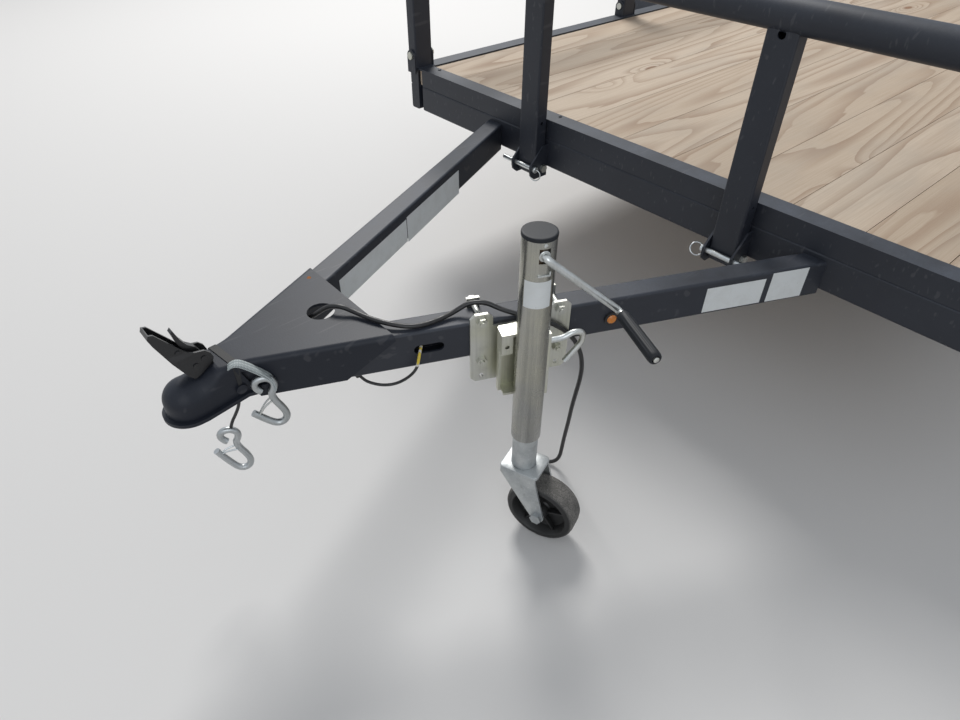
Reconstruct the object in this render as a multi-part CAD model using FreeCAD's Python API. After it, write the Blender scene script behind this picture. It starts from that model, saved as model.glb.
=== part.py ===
"""Utility trailer with a wood deck, pipe-topped rails, a swivel jack and a ramp gate.

Units are millimetres. +X points forward to the coupler, +Y to the trailer's left (the jack's side), +Z up.
The origin is on the ground under the middle of the trailer's overall length.
"""
import FreeCAD, Part

import math
import os

Vec = FreeCAD.Vector
X_AXIS, Y_AXIS, Z_AXIS = Vec(1, 0, 0), Vec(0, 1, 0), Vec(0, 0, 1)

# Running and seating clearances
SEAT = 0.3          # between a moving piece and the piece that it faces
PIN_FIT = 0.05      # radial, round every pin and shaft
CLEAR = 5.0         # between a moving piece and what it passes

# A route's arcs take this share of the shorter run beside them
ARC_SHARE = 0.45

# Bed
BED_LENGTH = 3048.0
BED_HALF_WIDTH = 885.0
DECK_Z = 575.0                    # top of the edge angles
ANGLE_LEG = 50.8
ANGLE_T = 4.8
MEMBER_HEIGHT = 76.2              # the tube under each edge angle
SIDE_MEMBER_WIDTH = 38.1
END_MEMBER_WIDTH = 50.8
MEMBER_WALL = 3.2
MEMBER_CORNER = 6.0
CORNER_GAP = 20.0                 # between an end member's face and the side member
CORNER_SETBACK = 14.0             # of the web that closes that gap
CROSS_MEMBER_COUNT = 4
CROSS_FLANGE = 50.8
MEMBER_TOP = DECK_Z - ANGLE_LEG
MEMBER_BOTTOM = MEMBER_TOP - MEMBER_HEIGHT

# Deck boards
BOARD_WIDTH = 152.4
BOARD_GAP = 1.6
BOARD_COUNT = int((2 * (BED_HALF_WIDTH - ANGLE_T) + BOARD_GAP) // (BOARD_WIDTH + BOARD_GAP))
BOARD_END_GAP = 4.0

# Tongue
TONGUE_ANGLE = 25.0               # of each beam to the centre line
TONGUE_FOOT = 512.5               # half width over the beams at the front member
BEAM_WIDTH = 50.8
BEAM_HEIGHT = 76.2
BEAM_WALL = 4.8
BEAM_CORNER = 6.0
BEAM_TOP = 511.0
BEAM_END = 1040.0                 # the beams' front ends, ahead of the front member
BEAM_MITRE = 0.3                  # half the gap between the two mitred ends
SLOT_S, SLOT_Z = 819.0, 472.5     # wiring slot in the left beam
SLOT_LENGTH, SLOT_HEIGHT = 55.0, 19.0
MARKER_S, MARKER_Z = 467.0, 468.0
MARKER_R = 9.5
GROMMET_R = 14.0

# Coupler
COUPLER_REAR = 798.0              # rear edge of the top plate, ahead of the front member
COUPLER_WALL = 5.0
COUPLER_BOTTOM = 437.0
COUPLER_SLANT = 84.0              # how far the side flanges lean forward
BALL_X = 1117.0
BALL_Z = 470.0
BALL_SOCKET_R = 25.9              # for a 2 inch ball
NOSE_R = 38.0
NOSE_TOP = 501.0                  # top of the dome over the ball
NOSE_FLAT = 2.0
COUPLER_BEND_R = 11.0
NECK_START = 1000.0               # the neck is drawn through cross-sections from here to the ball
NECK_STEP = 5.0
NECK_ROUND_X0, NECK_ROUND_X1 = 1045.0, 1110.0  # its bends grow to the dome's radius between these
NECK_PLAN_R = 90.0                # of the bend, seen from above, where the neck widens
NECK_DROP_X0, NECK_DROP_X1 = 1062.0, 1097.0  # the neck's top slopes down to the dome between these
LIP_REACH = 7.0
LIP_T = 7.0
LIP_START = 1014.0
LIP_RISE_X, LIP_RISE = 1105.0, 12.0  # behind this place the lip rises, by this much at its rear end
RECESS_FRONT, RECESS_REAR = (1034.0, 1020.0), (1014.0, 1000.0)  # front and rear edges at its top and bottom
RECESS_Z0, RECESS_Z1 = 461.0, 498.0
PLATE_HOLE_X = 857.0
PLATE_HOLE_R = 25.0
LATCH_WIDTH, LATCH_WALL = 30.0, 3.5
SADDLE_WIDTH = 22.0
SADDLE_RISE = 6.5                 # of the latch's saddle above the neck
TRIGGER_WIDTH = 12.0
RIVET_R, RIVET_RISE = 4.5, 1.6
COUPLER_BOLT_X, COUPLER_BOLT_Z, COUPLER_BOLT_R = 1040.0, 466.0, 9.0

# Front rail
RAIL_TOP_Z = DECK_Z + 357.0       # centre of every top pipe
PIPE_R = 30.15
PIPE_WALL = 3.9
POST_WIDE = 63.5
POST_NARROW = 38.1
POST_WALL = 3.0
POST_SADDLE = 12.0                # the coped tops end this far below the pipes' centres
FRONT_POST_Y = 308.6
FRONT_POST_GAP = 5.0              # between the front member's face and the posts
FRONT_POST_BOTTOM = 434.0
FRONT_PIPE_HALF = BED_HALF_WIDTH - 63.0
NOTCH_R = 8.0
POST_HOLE_R, POST_HOLE_Z = 4.5, 570.0
EAR_T = 4.8
EAR_BOTTOM, EAR_TOP = 424.0, 510.0
PIVOT_X, PIVOT_Z, PIVOT_R = 17.0, 448.0, 6.35
RAIL_PIN_R = 6.35
RAIL_PIN_LENGTH = 118.0

# Side rails
SIDE_POST_COUNT = 4
SIDE_POST_LEAD = 5.0              # the first posts stand this far ahead of the front member
SIDE_EAR_TOP = 51.0
SIDE_EAR_DROP = 16.0
SIDE_BOLT_Z = 34.0
SIDE_BOLT_R = 6.35

# Rear gate
GATE_HEIGHT = 1080.0
GATE_HALF_WIDTH = BED_HALF_WIDTH - 59.0
GATE_TUBE = 38.1
GATE_TUBE_WALL = 3.0
GATE_UPRIGHTS = 5
GATE_UPRIGHT_DEPTH = 19.05        # of the ones between the two sides
GATE_BOTTOM = 563.0
RUNG_COUNT = 9
RUNG_HEIGHT, RUNG_T = 32.0, 3.2
GATE_HINGE_BACK = 46.0            # hinge axis behind the rear member
GATE_HINGE_Z = 540.0
HINGE_R = 17.0
HINGE_PIN_R = 9.5
HINGE_LENGTH = 70.0
HINGE_Y = BED_HALF_WIDTH - 365.0

# Axle, springs and wheels
AXLE_X = 1790.0                   # behind the front member
TYRE_R = 342.5
TYRE_WIDTH = 203.0
RIM_R = 190.5
RIM_WIDTH = 140.0
RIM_T = 4.0
WHEEL_Y = BED_HALF_WIDTH + 133.0
AXLE_TUBE_R = 30.0
SPINDLE_R, SPINDLE_OUT = 15.0, 26.0
DISC_T = 5.0
DISC_HUB, DISC_BAND = 6.0, 22.0   # axial places of the disc's inner face at the hub and at the windows
HUB_BORE_R = 42.0
WINDOW_COUNT, WINDOW_CIRCLE, WINDOW_R = 8, 124.0, 14.0
STUD_COUNT, STUD_CIRCLE, STUD_R = 5, 57.15, 6.0
SPRING_Y = BED_HALF_WIDTH - SIDE_MEMBER_WIDTH / 2
SPRING_HALF = 318.0
SPRING_WIDTH = 44.5
LEAF_T = 6.4
LEAF_COUNT = 4
SPRING_EYE_Z = 420.0
SPRING_SAG = 16.0                 # the spring's middle below its eyes
EYE_R, EYE_BOLT_R = 13.0, 7.0
SHACKLE_LENGTH = 58.0

# Fenders
FENDER_R = 417.0
FENDER_T = 2.5
FENDER_INNER_Y = BED_HALF_WIDTH + 14.0
FENDER_WIDTH = 235.0
FENDER_OUTER_Y = FENDER_INNER_Y + FENDER_WIDTH
FENDER_LIP = 22.0
BRACKET_DOWN = 20.0               # of the fender's brackets below the side member's top
BRACKET_WIDTH, BRACKET_T = 42.0, 6.0
BRACKET_REACH = 40.0
FENDER_DROP = 20.0                # how far the ends reach below the deck's edge tube

# Webbing strap of the first safety hook
STRAP_N, STRAP_WIDTH = 5.9, 13.0

# Jack, in the left beam's own frame: s along the beam, n outward from its outer face
JACK_S = 650.0
JACK_N = 65.0
JACK_TUBE_R = 28.6
JACK_TUBE_WALL = 3.0
JACK_TUBE_BOTTOM, JACK_TUBE_TOP = 273.0, 712.0
JACK_WINDOW_HALF = 9.0            # half width of the window that the crank comes out of
JACK_WINDOW_Z0, JACK_WINDOW_Z1 = 675.0, 701.0
JACK_LEG_R = 25.0
JACK_LEG_WALL = 4.0
JACK_LEG_BOTTOM = 190.0
JACK_LEG_TOP = 520.0
JACK_CAP_T = 7.0
JACK_CAP_OVER = 0.8               # of the cap past the tube's side
JACK_CAP_EDGE = 3.0
PIVOT_HUB_Z = 461.0
PIVOT_HUB_R = 38.0
JACK_PIVOT_R = 8.0
BASE_T = 6.0
BASE_S0, BASE_S1 = 555.0, 745.0
BASE_Z0, BASE_Z1 = 378.0, 531.0
BASE_MID_Z = 502.0                # top of the plate between its two flanges
BASE_FLANGE = 42.0
BASE_CORNER = 9.0
BASE_BOLT_R = 5.0
BASE_BOLT_IN = 21.0               # of each bolt from the plate's end
BASE_HOLES_Z = (447.0, 391.0)
CLAMP_HALF = 12.0
SWIVEL_N = 24.0
SWIVEL_T = 5.0
SWIVEL_AHEAD = 52.0               # of the channel's front side from the jack's axis
SWIVEL_REACH = 56.0               # how far out the channel's shelves come
SWIVEL_BEND_R = 6.0
CRANK_Z = 688.0
CRANK_ROD_R = 6.0
CRANK_ARM_S, CRANK_ARM_Z = -137.0, -122.0
CRANK_INNER = 1.0                 # of the rod's flat inner end from the tube's round wall
CRANK_OUT = 7.0                   # of the arm from the tube
GRIP_R, GRIP_LENGTH = 11.5, 117.0
PULL_ROD_R = 5.6
PULL_Z = 484.0
PULL_N = 50.0
PULL_BENDS = [(585.0, 484.0), (566.0, 494.0), (547.0, 490.0), (547.0, 468.0), (578.0, 429.0)]
TAB_DROP, TAB_HOLE_DOWN = 43.0, 26.0  # of the tab in front of the upper shelf, and of its hole
TAB_GAP = 3.0                     # between the tab and the tube
SWIVEL_Z0, SWIVEL_Z1 = 376.0, 516.0

# Caster
CASTER_TRAIL = 52.0
CASTER_HEADING = 110.0            # of the trail, from +X towards +Y
CASTER_R = 76.2
CASTER_WIDTH = 54.0
CASTER_BORE_R = 8.0
FORK_T = 4.5
FORK_GAP = 2.5                    # between the wheel and each leg
FORK_FRONT, FORK_REAR = 36.0, 42.0  # of the fork's top, ahead of the leg's axis and behind it
FORK_SHOULDER = 16.0
FORK_END_R = 15.0
FORK_BEND_R = 7.0
AXLE_NUT, AXLE_NUT_T = 22.0, 9.0

# Lamps
MARKER_LENS_T = 7.0
TAIL_LAMP = (30.0, 150.0, 58.0)

# Where the front member's face lies, so that the origin is under the middle of the whole trailer
NOSE_REACH = BALL_X + NOSE_R + LIP_REACH
REAR_REACH = BED_LENGTH + GATE_HINGE_BACK + GATE_TUBE / 2
FACE_X = (REAR_REACH - NOSE_REACH) / 2
REAR_X = FACE_X - BED_LENGTH
AXLE_AT = FACE_X - AXLE_X


def box(x0, x1, y0, y1, z0, z1):
    return Part.makeBox(x1 - x0, y1 - y0, z1 - z0, Vec(x0, y0, z0))


def rod(start, end, radius):
    """A round bar between two points."""
    run = end.sub(start)
    return Part.makeCylinder(radius, run.Length, start, run)


def ring(start, end, outer, inner):
    return rod(start, end, outer).cut(rod(start, end, inner))


def face_of(points):
    return Part.Face(Part.makePolygon(points + [points[0]]))


def prism(points, depth):
    """Points in a plane, pushed along the vector depth."""
    return face_of(points).extrude(depth)


def rounded_outline(width, height, radius):
    """A rounded rectangle in the YZ plane, centred on the X axis."""
    y, z = width / 2, height / 2
    k = radius * (1 - math.sqrt(0.5))
    corners = [(y, z, 1, 1), (-y, z, -1, 1), (-y, -z, -1, -1), (y, -z, 1, -1)]
    edges = []
    last = None
    first = None
    for cy, cz, sy, sz in corners:
        a = Vec(0, cy, cz - sz * radius)
        b = Vec(0, cy - sy * radius, cz)
        if sy * sz < 0:
            a, b = b, a
        mid = Vec(0, cy - sy * k, cz - sz * k)
        if last is not None:
            edges.append(Part.LineSegment(last, a).toShape())
        edges.append(Part.Arc(a, mid, b).toShape())
        last = b
        if first is None:
            first = a
    edges.append(Part.LineSegment(last, first).toShape())
    return Part.Wire(edges)


def tube(length, width, height, wall, corner):
    """A rectangular tube along +X from the origin, its section centred on the axis, open at both ends."""
    outer = Part.Face(rounded_outline(width, height, corner))
    inner = Part.Face(rounded_outline(width - 2 * wall, height - 2 * wall, max(corner - wall, 1.0)))
    return outer.cut(inner).extrude(Vec(length, 0, 0))


def both_sides(shape):
    """A left-hand piece and its mirror image on the right."""
    return Part.makeCompound([shape, shape.mirror(Vec(0, 0, 0), Y_AXIS)])


def mirrored(shape):
    return shape.mirror(Vec(0, 0, 0), Y_AXIS)


def on_beam(shape):
    """Puts a shape drawn in the left beam's own frame where the beam is."""
    placed = shape.copy()
    turn = FreeCAD.Rotation(Z_AXIS, -TONGUE_ANGLE)
    placed.Placement = FreeCAD.Placement(Vec(FACE_X, TONGUE_FOOT, 0), turn).multiply(placed.Placement)
    return placed


def beam_point(s, n, z):
    a = math.radians(TONGUE_ANGLE)
    x = FACE_X + s * math.cos(a) + n * math.sin(a)
    y = TONGUE_FOOT - s * math.sin(a) + n * math.cos(a)
    return Vec(x, y, z)


def bend(before, corner, after):
    """The two tangent points, the middle and the radius of the arc that rounds one corner of a route."""
    a, b = before.sub(corner), after.sub(corner)
    reach = ARC_SHARE * min(a.Length, b.Length)
    a.normalize()
    b.normalize()
    half = a.getAngle(b) / 2
    radius = reach * math.tan(half)
    inward = a.add(b)
    inward.normalize()
    out = reach / math.cos(half) - radius
    return corner.add(a * reach), corner.add(inward * out), corner.add(b * reach), radius


def route(points):
    """Straight runs joined by tangent arcs, and the arcs' radii."""
    edges, radii = [], []
    at = points[0]
    for before, corner, after in zip(points, points[1:], points[2:]):
        start, middle, end, radius = bend(before, corner, after)
        edges += [Part.LineSegment(at, start).toShape(), Part.Arc(start, middle, end).toShape()]
        radii.append(radius)
        at = end
    edges.append(Part.LineSegment(at, points[-1]).toShape())
    return Part.Wire(edges), radii


def tube_along(points, radius):
    """A round solid along a route."""
    path, radii = route(points)
    first = points[1].sub(points[0])
    profile = Part.Wire([Part.makeCircle(radius, points[0], first)])
    return path.makePipeShell([profile], True, False)


def report_cord(name, points, radius, solid):
    """Prints a cord's length, its bends and how its volume compares with its section times its length."""
    path, radii = route(points)
    share = solid.Volume / (math.pi * radius ** 2 * path.Length)
    print(name, "length", round(path.Length, 1), "volume share", round(share, 4),
          "radii in diameters", [round(r / (2 * radius), 1) for r in radii])


# The bed's frame

def side_members():
    """The outer tubes, closed at the front and butting on the rear member behind."""
    length = BED_LENGTH - END_MEMBER_WIDTH
    piece = tube(length, SIDE_MEMBER_WIDTH, MEMBER_HEIGHT, MEMBER_WALL, MEMBER_CORNER)
    y = BED_HALF_WIDTH - SIDE_MEMBER_WIDTH / 2
    z = (MEMBER_TOP + MEMBER_BOTTOM) / 2
    piece.translate(Vec(REAR_X + END_MEMBER_WIDTH, y, z))
    cap = Part.Face(rounded_outline(SIDE_MEMBER_WIDTH - 2 * MEMBER_WALL, MEMBER_HEIGHT - 2 * MEMBER_WALL,
                                    MEMBER_CORNER - MEMBER_WALL)).extrude(Vec(-MEMBER_WALL, 0, 0))
    cap.translate(Vec(FACE_X, y, z))
    return both_sides(piece.fuse(cap))


def front_member():
    """The cross tube under the front angle, with a set-back web at each end that meets the side member."""
    inside = BED_HALF_WIDTH - SIDE_MEMBER_WIDTH
    half = inside - CORNER_GAP
    piece = tube(2 * half, END_MEMBER_WIDTH, MEMBER_HEIGHT, MEMBER_WALL, MEMBER_CORNER)
    piece.rotate(Vec(0, 0, 0), Z_AXIS, -90)
    z = (MEMBER_TOP + MEMBER_BOTTOM) / 2
    piece.translate(Vec(FACE_X - END_MEMBER_WIDTH / 2, half, z))
    web_front = FACE_X - CORNER_SETBACK
    web = box(web_front - MEMBER_WALL, web_front, half - MEMBER_CORNER, inside,
              MEMBER_BOTTOM + MEMBER_WALL, MEMBER_TOP - MEMBER_WALL)
    close = box(FACE_X - END_MEMBER_WIDTH + MEMBER_WALL, FACE_X - MEMBER_WALL, half - MEMBER_WALL, half,
                MEMBER_BOTTOM + MEMBER_WALL, MEMBER_TOP - MEMBER_WALL)
    side = web.fuse(close)
    return piece.fuse([side, mirrored(side)])


def rear_member():
    half = BED_HALF_WIDTH
    piece = tube(2 * half, END_MEMBER_WIDTH, MEMBER_HEIGHT, MEMBER_WALL, MEMBER_CORNER)
    piece.rotate(Vec(0, 0, 0), Z_AXIS, -90)
    piece.translate(Vec(REAR_X + END_MEMBER_WIDTH / 2, half, (MEMBER_TOP + MEMBER_BOTTOM) / 2))
    return piece


def end_angle(face_x, inward):
    """The angle iron over a front or rear member: flange over the board ends, leg on the member."""
    deep = face_x + inward * ANGLE_LEG
    flange = prism([Vec(face_x, BED_HALF_WIDTH, DECK_Z - ANGLE_T), Vec(face_x, -BED_HALF_WIDTH, DECK_Z - ANGLE_T),
                    Vec(deep, -BED_HALF_WIDTH + ANGLE_LEG, DECK_Z - ANGLE_T),
                    Vec(deep, BED_HALF_WIDTH - ANGLE_LEG, DECK_Z - ANGLE_T)], Vec(0, 0, ANGLE_T))
    near, far = sorted([face_x, face_x + inward * ANGLE_T])
    reach = BED_HALF_WIDTH - SIDE_MEMBER_WIDTH - CORNER_GAP
    leg = box(near, far, -reach, reach, MEMBER_TOP, DECK_Z - ANGLE_T)
    return flange.fuse(leg)


def side_angles():
    inner = BED_HALF_WIDTH - ANGLE_LEG
    flange = prism([Vec(FACE_X, BED_HALF_WIDTH, DECK_Z - ANGLE_T),
                    Vec(FACE_X - ANGLE_LEG, inner, DECK_Z - ANGLE_T),
                    Vec(REAR_X + ANGLE_LEG, inner, DECK_Z - ANGLE_T),
                    Vec(REAR_X, BED_HALF_WIDTH, DECK_Z - ANGLE_T)], Vec(0, 0, ANGLE_T))
    leg = box(REAR_X, FACE_X, BED_HALF_WIDTH - ANGLE_T, BED_HALF_WIDTH, MEMBER_TOP, DECK_Z - ANGLE_T)
    front = box(FACE_X - ANGLE_T, FACE_X, BED_HALF_WIDTH - SIDE_MEMBER_WIDTH, BED_HALF_WIDTH - ANGLE_T,
                MEMBER_TOP, DECK_Z - ANGLE_T)
    return both_sides(flange.fuse([leg, front]))


def cross_members():
    """Angle irons across the bed, between the side members, that the boards lie on."""
    inside = BED_HALF_WIDTH - SIDE_MEMBER_WIDTH
    pitch = BED_LENGTH / (CROSS_MEMBER_COUNT + 1)
    pieces = []
    for i in range(1, CROSS_MEMBER_COUNT + 1):
        x = FACE_X - i * pitch
        leg = box(x, x + ANGLE_T, -inside, inside, MEMBER_BOTTOM, MEMBER_TOP)
        flange = box(x - CROSS_FLANGE + ANGLE_T, x, -inside, inside, MEMBER_TOP - ANGLE_T, MEMBER_TOP)
        pieces.append(leg.fuse(flange))
    return Part.makeCompound(pieces)


def deck_boards():
    """Rough-sawn boards along the bed, their ends captured under the front and rear angles."""
    pitch = BOARD_WIDTH + BOARD_GAP
    first = -(BOARD_COUNT - 1) / 2 * pitch
    front = FACE_X - ANGLE_T - BOARD_END_GAP
    back = REAR_X + ANGLE_T + BOARD_END_GAP
    boards = []
    for i in range(BOARD_COUNT):
        y = first + i * pitch
        boards.append(box(back, front, y - BOARD_WIDTH / 2, y + BOARD_WIDTH / 2, MEMBER_TOP, DECK_Z - ANGLE_T))
    return Part.makeCompound(boards)


# The tongue

def tongue_beam():
    """The left beam: a rectangular tube cut flush at the front member and mitred on the centre line."""
    spare = 200.0
    piece = tube(BEAM_END / math.cos(math.radians(TONGUE_ANGLE)) + 2 * spare, BEAM_WIDTH, BEAM_HEIGHT,
                 BEAM_WALL, BEAM_CORNER)
    piece.translate(Vec(-spare, -BEAM_WIDTH / 2, BEAM_TOP - BEAM_HEIGHT / 2))
    slot_end = (SLOT_LENGTH - SLOT_HEIGHT) / 2
    for ds in (-slot_end, slot_end):
        piece = piece.cut(rod(Vec(SLOT_S + ds, -BEAM_WALL - 1, SLOT_Z), Vec(SLOT_S + ds, 1, SLOT_Z), SLOT_HEIGHT / 2))
    piece = piece.cut(box(SLOT_S - slot_end, SLOT_S + slot_end, -BEAM_WALL - 1, 1,
                          SLOT_Z - SLOT_HEIGHT / 2, SLOT_Z + SLOT_HEIGHT / 2))
    piece = piece.cut(rod(Vec(MARKER_S, -BEAM_WALL - 1, MARKER_Z), Vec(MARKER_S, 1, MARKER_Z), MARKER_R))
    keep = box(FACE_X, FACE_X + BEAM_END, BEAM_MITRE, TONGUE_FOOT + 1, BEAM_TOP - BEAM_HEIGHT, BEAM_TOP)
    return on_beam(piece).common(keep)


def marker_lamps():
    """An amber lens in its rubber grommet on each beam."""
    lens = rod(Vec(MARKER_S, -BEAM_WALL, MARKER_Z), Vec(MARKER_S, MARKER_LENS_T, MARKER_Z), MARKER_R)
    lens = lens.makeChamfer(2.5, [e for e in lens.Edges if e.BoundBox.YMin > MARKER_LENS_T - 0.1])
    return both_sides(on_beam(lens))


def marker_grommets():
    grommet = ring(Vec(MARKER_S, 0, MARKER_Z), Vec(MARKER_S, 4.0, MARKER_Z), GROMMET_R, MARKER_R)
    return both_sides(on_beam(grommet))


# The coupler

def coupler_outline(offset, x0, z0, z1):
    """Plan of the coupler's skin, offset outward, from x0 to the ball's centre."""
    a = math.radians(TONGUE_ANGLE)
    foot = TONGUE_FOOT + (COUPLER_WALL + 0.6 + offset) / math.cos(a)
    r = NOSE_R + offset
    neck = (foot - r) / math.tan(a)
    y0 = foot - x0 * math.tan(a)
    pts = [(x0, y0), (neck, r), (BALL_X, r), (BALL_X, -r), (neck, -r), (x0, -y0)]
    return prism([Vec(FACE_X + x, y, z0) for x, y in pts], Vec(0, 0, z1 - z0))


def coupler_nose(radius, z0, z1, top):
    """The front half of a dome over the ball, turned about the ball's vertical axis."""
    flat = NOSE_FLAT
    r = radius - flat
    x, z = FACE_X + BALL_X, top - r
    k = r * math.sqrt(0.5)
    pts = [Vec(x, 0, z0), Vec(x, 0, top), Vec(x + flat, 0, top)]
    arc = Part.Arc(pts[2], Vec(x + flat + k, 0, z + k), Vec(x + radius, 0, z)).toShape()
    edges = [Part.LineSegment(pts[0], pts[1]).toShape(), Part.LineSegment(pts[1], pts[2]).toShape(), arc,
             Part.LineSegment(Vec(x + radius, 0, z), Vec(x + radius, 0, z0)).toShape(),
             Part.LineSegment(Vec(x + radius, 0, z0), pts[0]).toShape()]
    half = Part.Face(Part.Wire(edges)).revolve(Vec(x, 0, 0), Z_AXIS, 90)
    other = Part.Face(Part.Wire(edges)).revolve(Vec(x, 0, 0), Z_AXIS, -90)
    return half.fuse(other)


def eased(x, x0, x1):
    """From 0 at x0 to 1 at x1, level at both."""
    share = min(1.0, max(0.0, (x - x0) / (x1 - x0)))
    return share * share * (3 - 2 * share)


def neck_top(x):
    """Height of the neck's top: the plate's, then down a slope to the dome's."""
    high = BEAM_TOP + COUPLER_WALL
    return high - (high - NOSE_TOP) * eased(x, NECK_DROP_X0, NECK_DROP_X1)


def neck_half(x):
    """Half the neck's width: it widens rearward through a bend into the beams' direction."""
    a = math.radians(TONGUE_ANGLE)
    foot = TONGUE_FOOT + (COUPLER_WALL + 0.6) / math.cos(a)
    neck = (foot - NOSE_R) / math.tan(a)
    reach = NECK_PLAN_R * math.tan(a / 2)
    front, rear = neck + reach, neck - reach * math.cos(a)
    if x >= front:
        return NOSE_R
    if x <= rear:
        return foot - x * math.tan(a)
    return NOSE_R + NECK_PLAN_R - math.sqrt(NECK_PLAN_R ** 2 - (front - x) ** 2)


def neck_section(x):
    """The neck's outline across x: a floor, two walls, two bends and a flat top."""
    half, top, low = neck_half(x), neck_top(x), COUPLER_BOTTOM
    grown = eased(x, NECK_ROUND_X0, NECK_ROUND_X1)
    r = COUPLER_BEND_R + (NOSE_R - NOSE_FLAT - COUPLER_BEND_R) * grown
    k = r * (1 - math.sqrt(0.5))
    px = FACE_X + x
    left = [Vec(px, half, low), Vec(px, half, top - r), Vec(px, half - k, top - k), Vec(px, half - r, top)]
    right = [Vec(p.x, -p.y, p.z) for p in left]
    edges = [Part.LineSegment(right[0], left[0]).toShape(), Part.LineSegment(left[0], left[1]).toShape(),
             Part.Arc(left[1], left[2], left[3]).toShape(), Part.LineSegment(left[3], right[3]).toShape(),
             Part.Arc(right[3], right[2], right[1]).toShape(), Part.LineSegment(right[1], right[0]).toShape()]
    return Part.Wire(edges)


def coupler_skin():
    """The plate and the neck, ruled through cross-sections from the plate's rear edge to the ball."""
    count = round((BALL_X - NECK_START) / NECK_STEP)
    stops = [COUPLER_REAR] + [NECK_START + i * (BALL_X - NECK_START) / count for i in range(count + 1)]
    return Part.makeLoft([neck_section(x) for x in stops], True, True)


def side_prism(profile, half):
    """A profile of (x ahead of the front member, z), spread to both sides of the middle."""
    return prism([Vec(FACE_X + x, -half, z) for x, z in profile], Vec(0, 2 * half, 0))


def coupler():
    """A pressed plate over the beams' front ends, with a neck, a dome over the ball and a lip that rises rearward."""
    wide = 320.0
    low = COUPLER_BOTTOM
    nose = coupler_nose(NOSE_R, low, NOSE_TOP, NOSE_TOP)
    lip = coupler_outline(LIP_REACH, LIP_START, low - LIP_T, low + LIP_T + LIP_RISE)
    lip = lip.fuse(Part.makeCylinder(NOSE_R + LIP_REACH, 2 * LIP_T, Vec(FACE_X + BALL_X, 0, low - LIP_T)))
    line = [(BALL_X + 2 * NOSE_R, low), (LIP_RISE_X, low), (LIP_START, low + LIP_RISE)]
    lip = lip.common(side_prism(line + [(x, z + LIP_T) for x, z in reversed(line)], wide))
    under = side_prism([(LIP_RISE_X, low), (LIP_START, low + LIP_RISE), (LIP_START, low - 1), (LIP_RISE_X, low - 1)], wide)
    body = coupler_skin().fuse(nose).cut(under).fuse(lip)
    inner = coupler_outline(-COUPLER_WALL, COUPLER_REAR - 20, low - 10, BEAM_TOP)
    body = body.cut(inner.common(box(FACE_X + COUPLER_REAR - 20, FACE_X + BEAM_END + 12, -wide, wide, low - 10, BEAM_TOP)))
    ball = Vec(FACE_X + BALL_X, 0, BALL_Z)
    body = body.cut(Part.makeSphere(BALL_SOCKET_R, ball))
    body = body.cut(Part.makeCylinder(BALL_SOCKET_R, BALL_Z - low + 10, Vec(ball.x, 0, low - 10)))
    slant = side_prism([(COUPLER_REAR - 30, low - 1), (COUPLER_REAR + COUPLER_SLANT, low - 1),
                        (COUPLER_REAR, BEAM_TOP - 6), (COUPLER_REAR - 30, BEAM_TOP - 6)], wide)
    recess = side_prism([(RECESS_FRONT[0], RECESS_Z1), (RECESS_FRONT[1], RECESS_Z0), (RECESS_REAR[1], RECESS_Z0),
                         (RECESS_REAR[0], RECESS_Z1)], wide)
    plate_hole = Part.makeCylinder(PLATE_HOLE_R, 40, Vec(FACE_X + PLATE_HOLE_X, 0, BEAM_TOP - 20))
    body = body.cut([slant, recess, plate_hole])
    bolt_x = FACE_X + COUPLER_BOLT_X
    bolt = rod(Vec(bolt_x, NOSE_R - 3, COUPLER_BOLT_Z), Vec(bolt_x, NOSE_R + 5, COUPLER_BOLT_Z), COUPLER_BOLT_R)
    return body.fuse([bolt, mirrored(bolt)])


def coupler_latch():
    """The raised lever on the coupler's neck: a riveted channel open at the back, a saddle under it and a trigger."""
    profile = [  # (x ahead of the front member, z), round one side plate from its front foot
        (1097, 504), (1105, 513), (1122, 548), (1139, 592), (1143, 606), (1140, 613), (1133, 611), (1124, 598), (1112, 581),
        (1101, 565), (1094, 557), (1087, 553), (1070, 549), (1063, 541), (1060, 531), (1063, 524), (1077, 514), (1087, 508)]
    half = LATCH_WIDTH / 2
    body = side_prism(profile, half)
    pocket = side_prism([(x - LATCH_WALL, z + LATCH_WALL) for x, z in profile], half - LATCH_WALL)
    body = body.cut(pocket)
    stops = [1062.0 + 6 * i for i in range(7)]
    saddle = side_prism([(x, neck_top(x) + SEAT) for x in stops] + [(x, neck_top(x) + SADDLE_RISE) for x in reversed(stops)],
                        SADDLE_WIDTH / 2)
    trigger = [(1090, 538), (1097, 552), (1104, 575), (1108, 596), (1104, 600), (1098, 580), (1091, 566), (1080, 556),
               (1074, 545), (1078, 536)]
    trigger = side_prism(trigger, TRIGGER_WIDTH / 2)
    pin = rod(Vec(FACE_X + 1084, 1 - half, 545), Vec(FACE_X + 1084, half - 1, 545), 3.0)
    rivets = []
    for x, z in [(1109, 564), (1075, 536), (1090, 528)]:
        shank = rod(Vec(FACE_X + x, -half + 0.5, z), Vec(FACE_X + x, half - 0.5, z), RIVET_R - 2)
        heads = [rod(Vec(FACE_X + x, side * (half - 0.5), z), Vec(FACE_X + x, side * (half + RIVET_RISE), z), RIVET_R)
                 for side in (-1, 1)]
        rivets += [shank] + heads
    return body.fuse([saddle, trigger, pin] + rivets)


# The rails

def pipe(start, end):
    """A round pipe closed with a thin cap at each end."""
    run = end.sub(start)
    run.normalize()
    body = ring(start, end, PIPE_R, PIPE_R - PIPE_WALL)
    cap = 3.0
    inset = Vec(run.x * cap, run.y * cap, run.z * cap)
    caps = [rod(start, start.add(inset), PIPE_R - PIPE_WALL), rod(end.sub(inset), end, PIPE_R - PIPE_WALL)]
    return body.fuse(caps)


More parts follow.
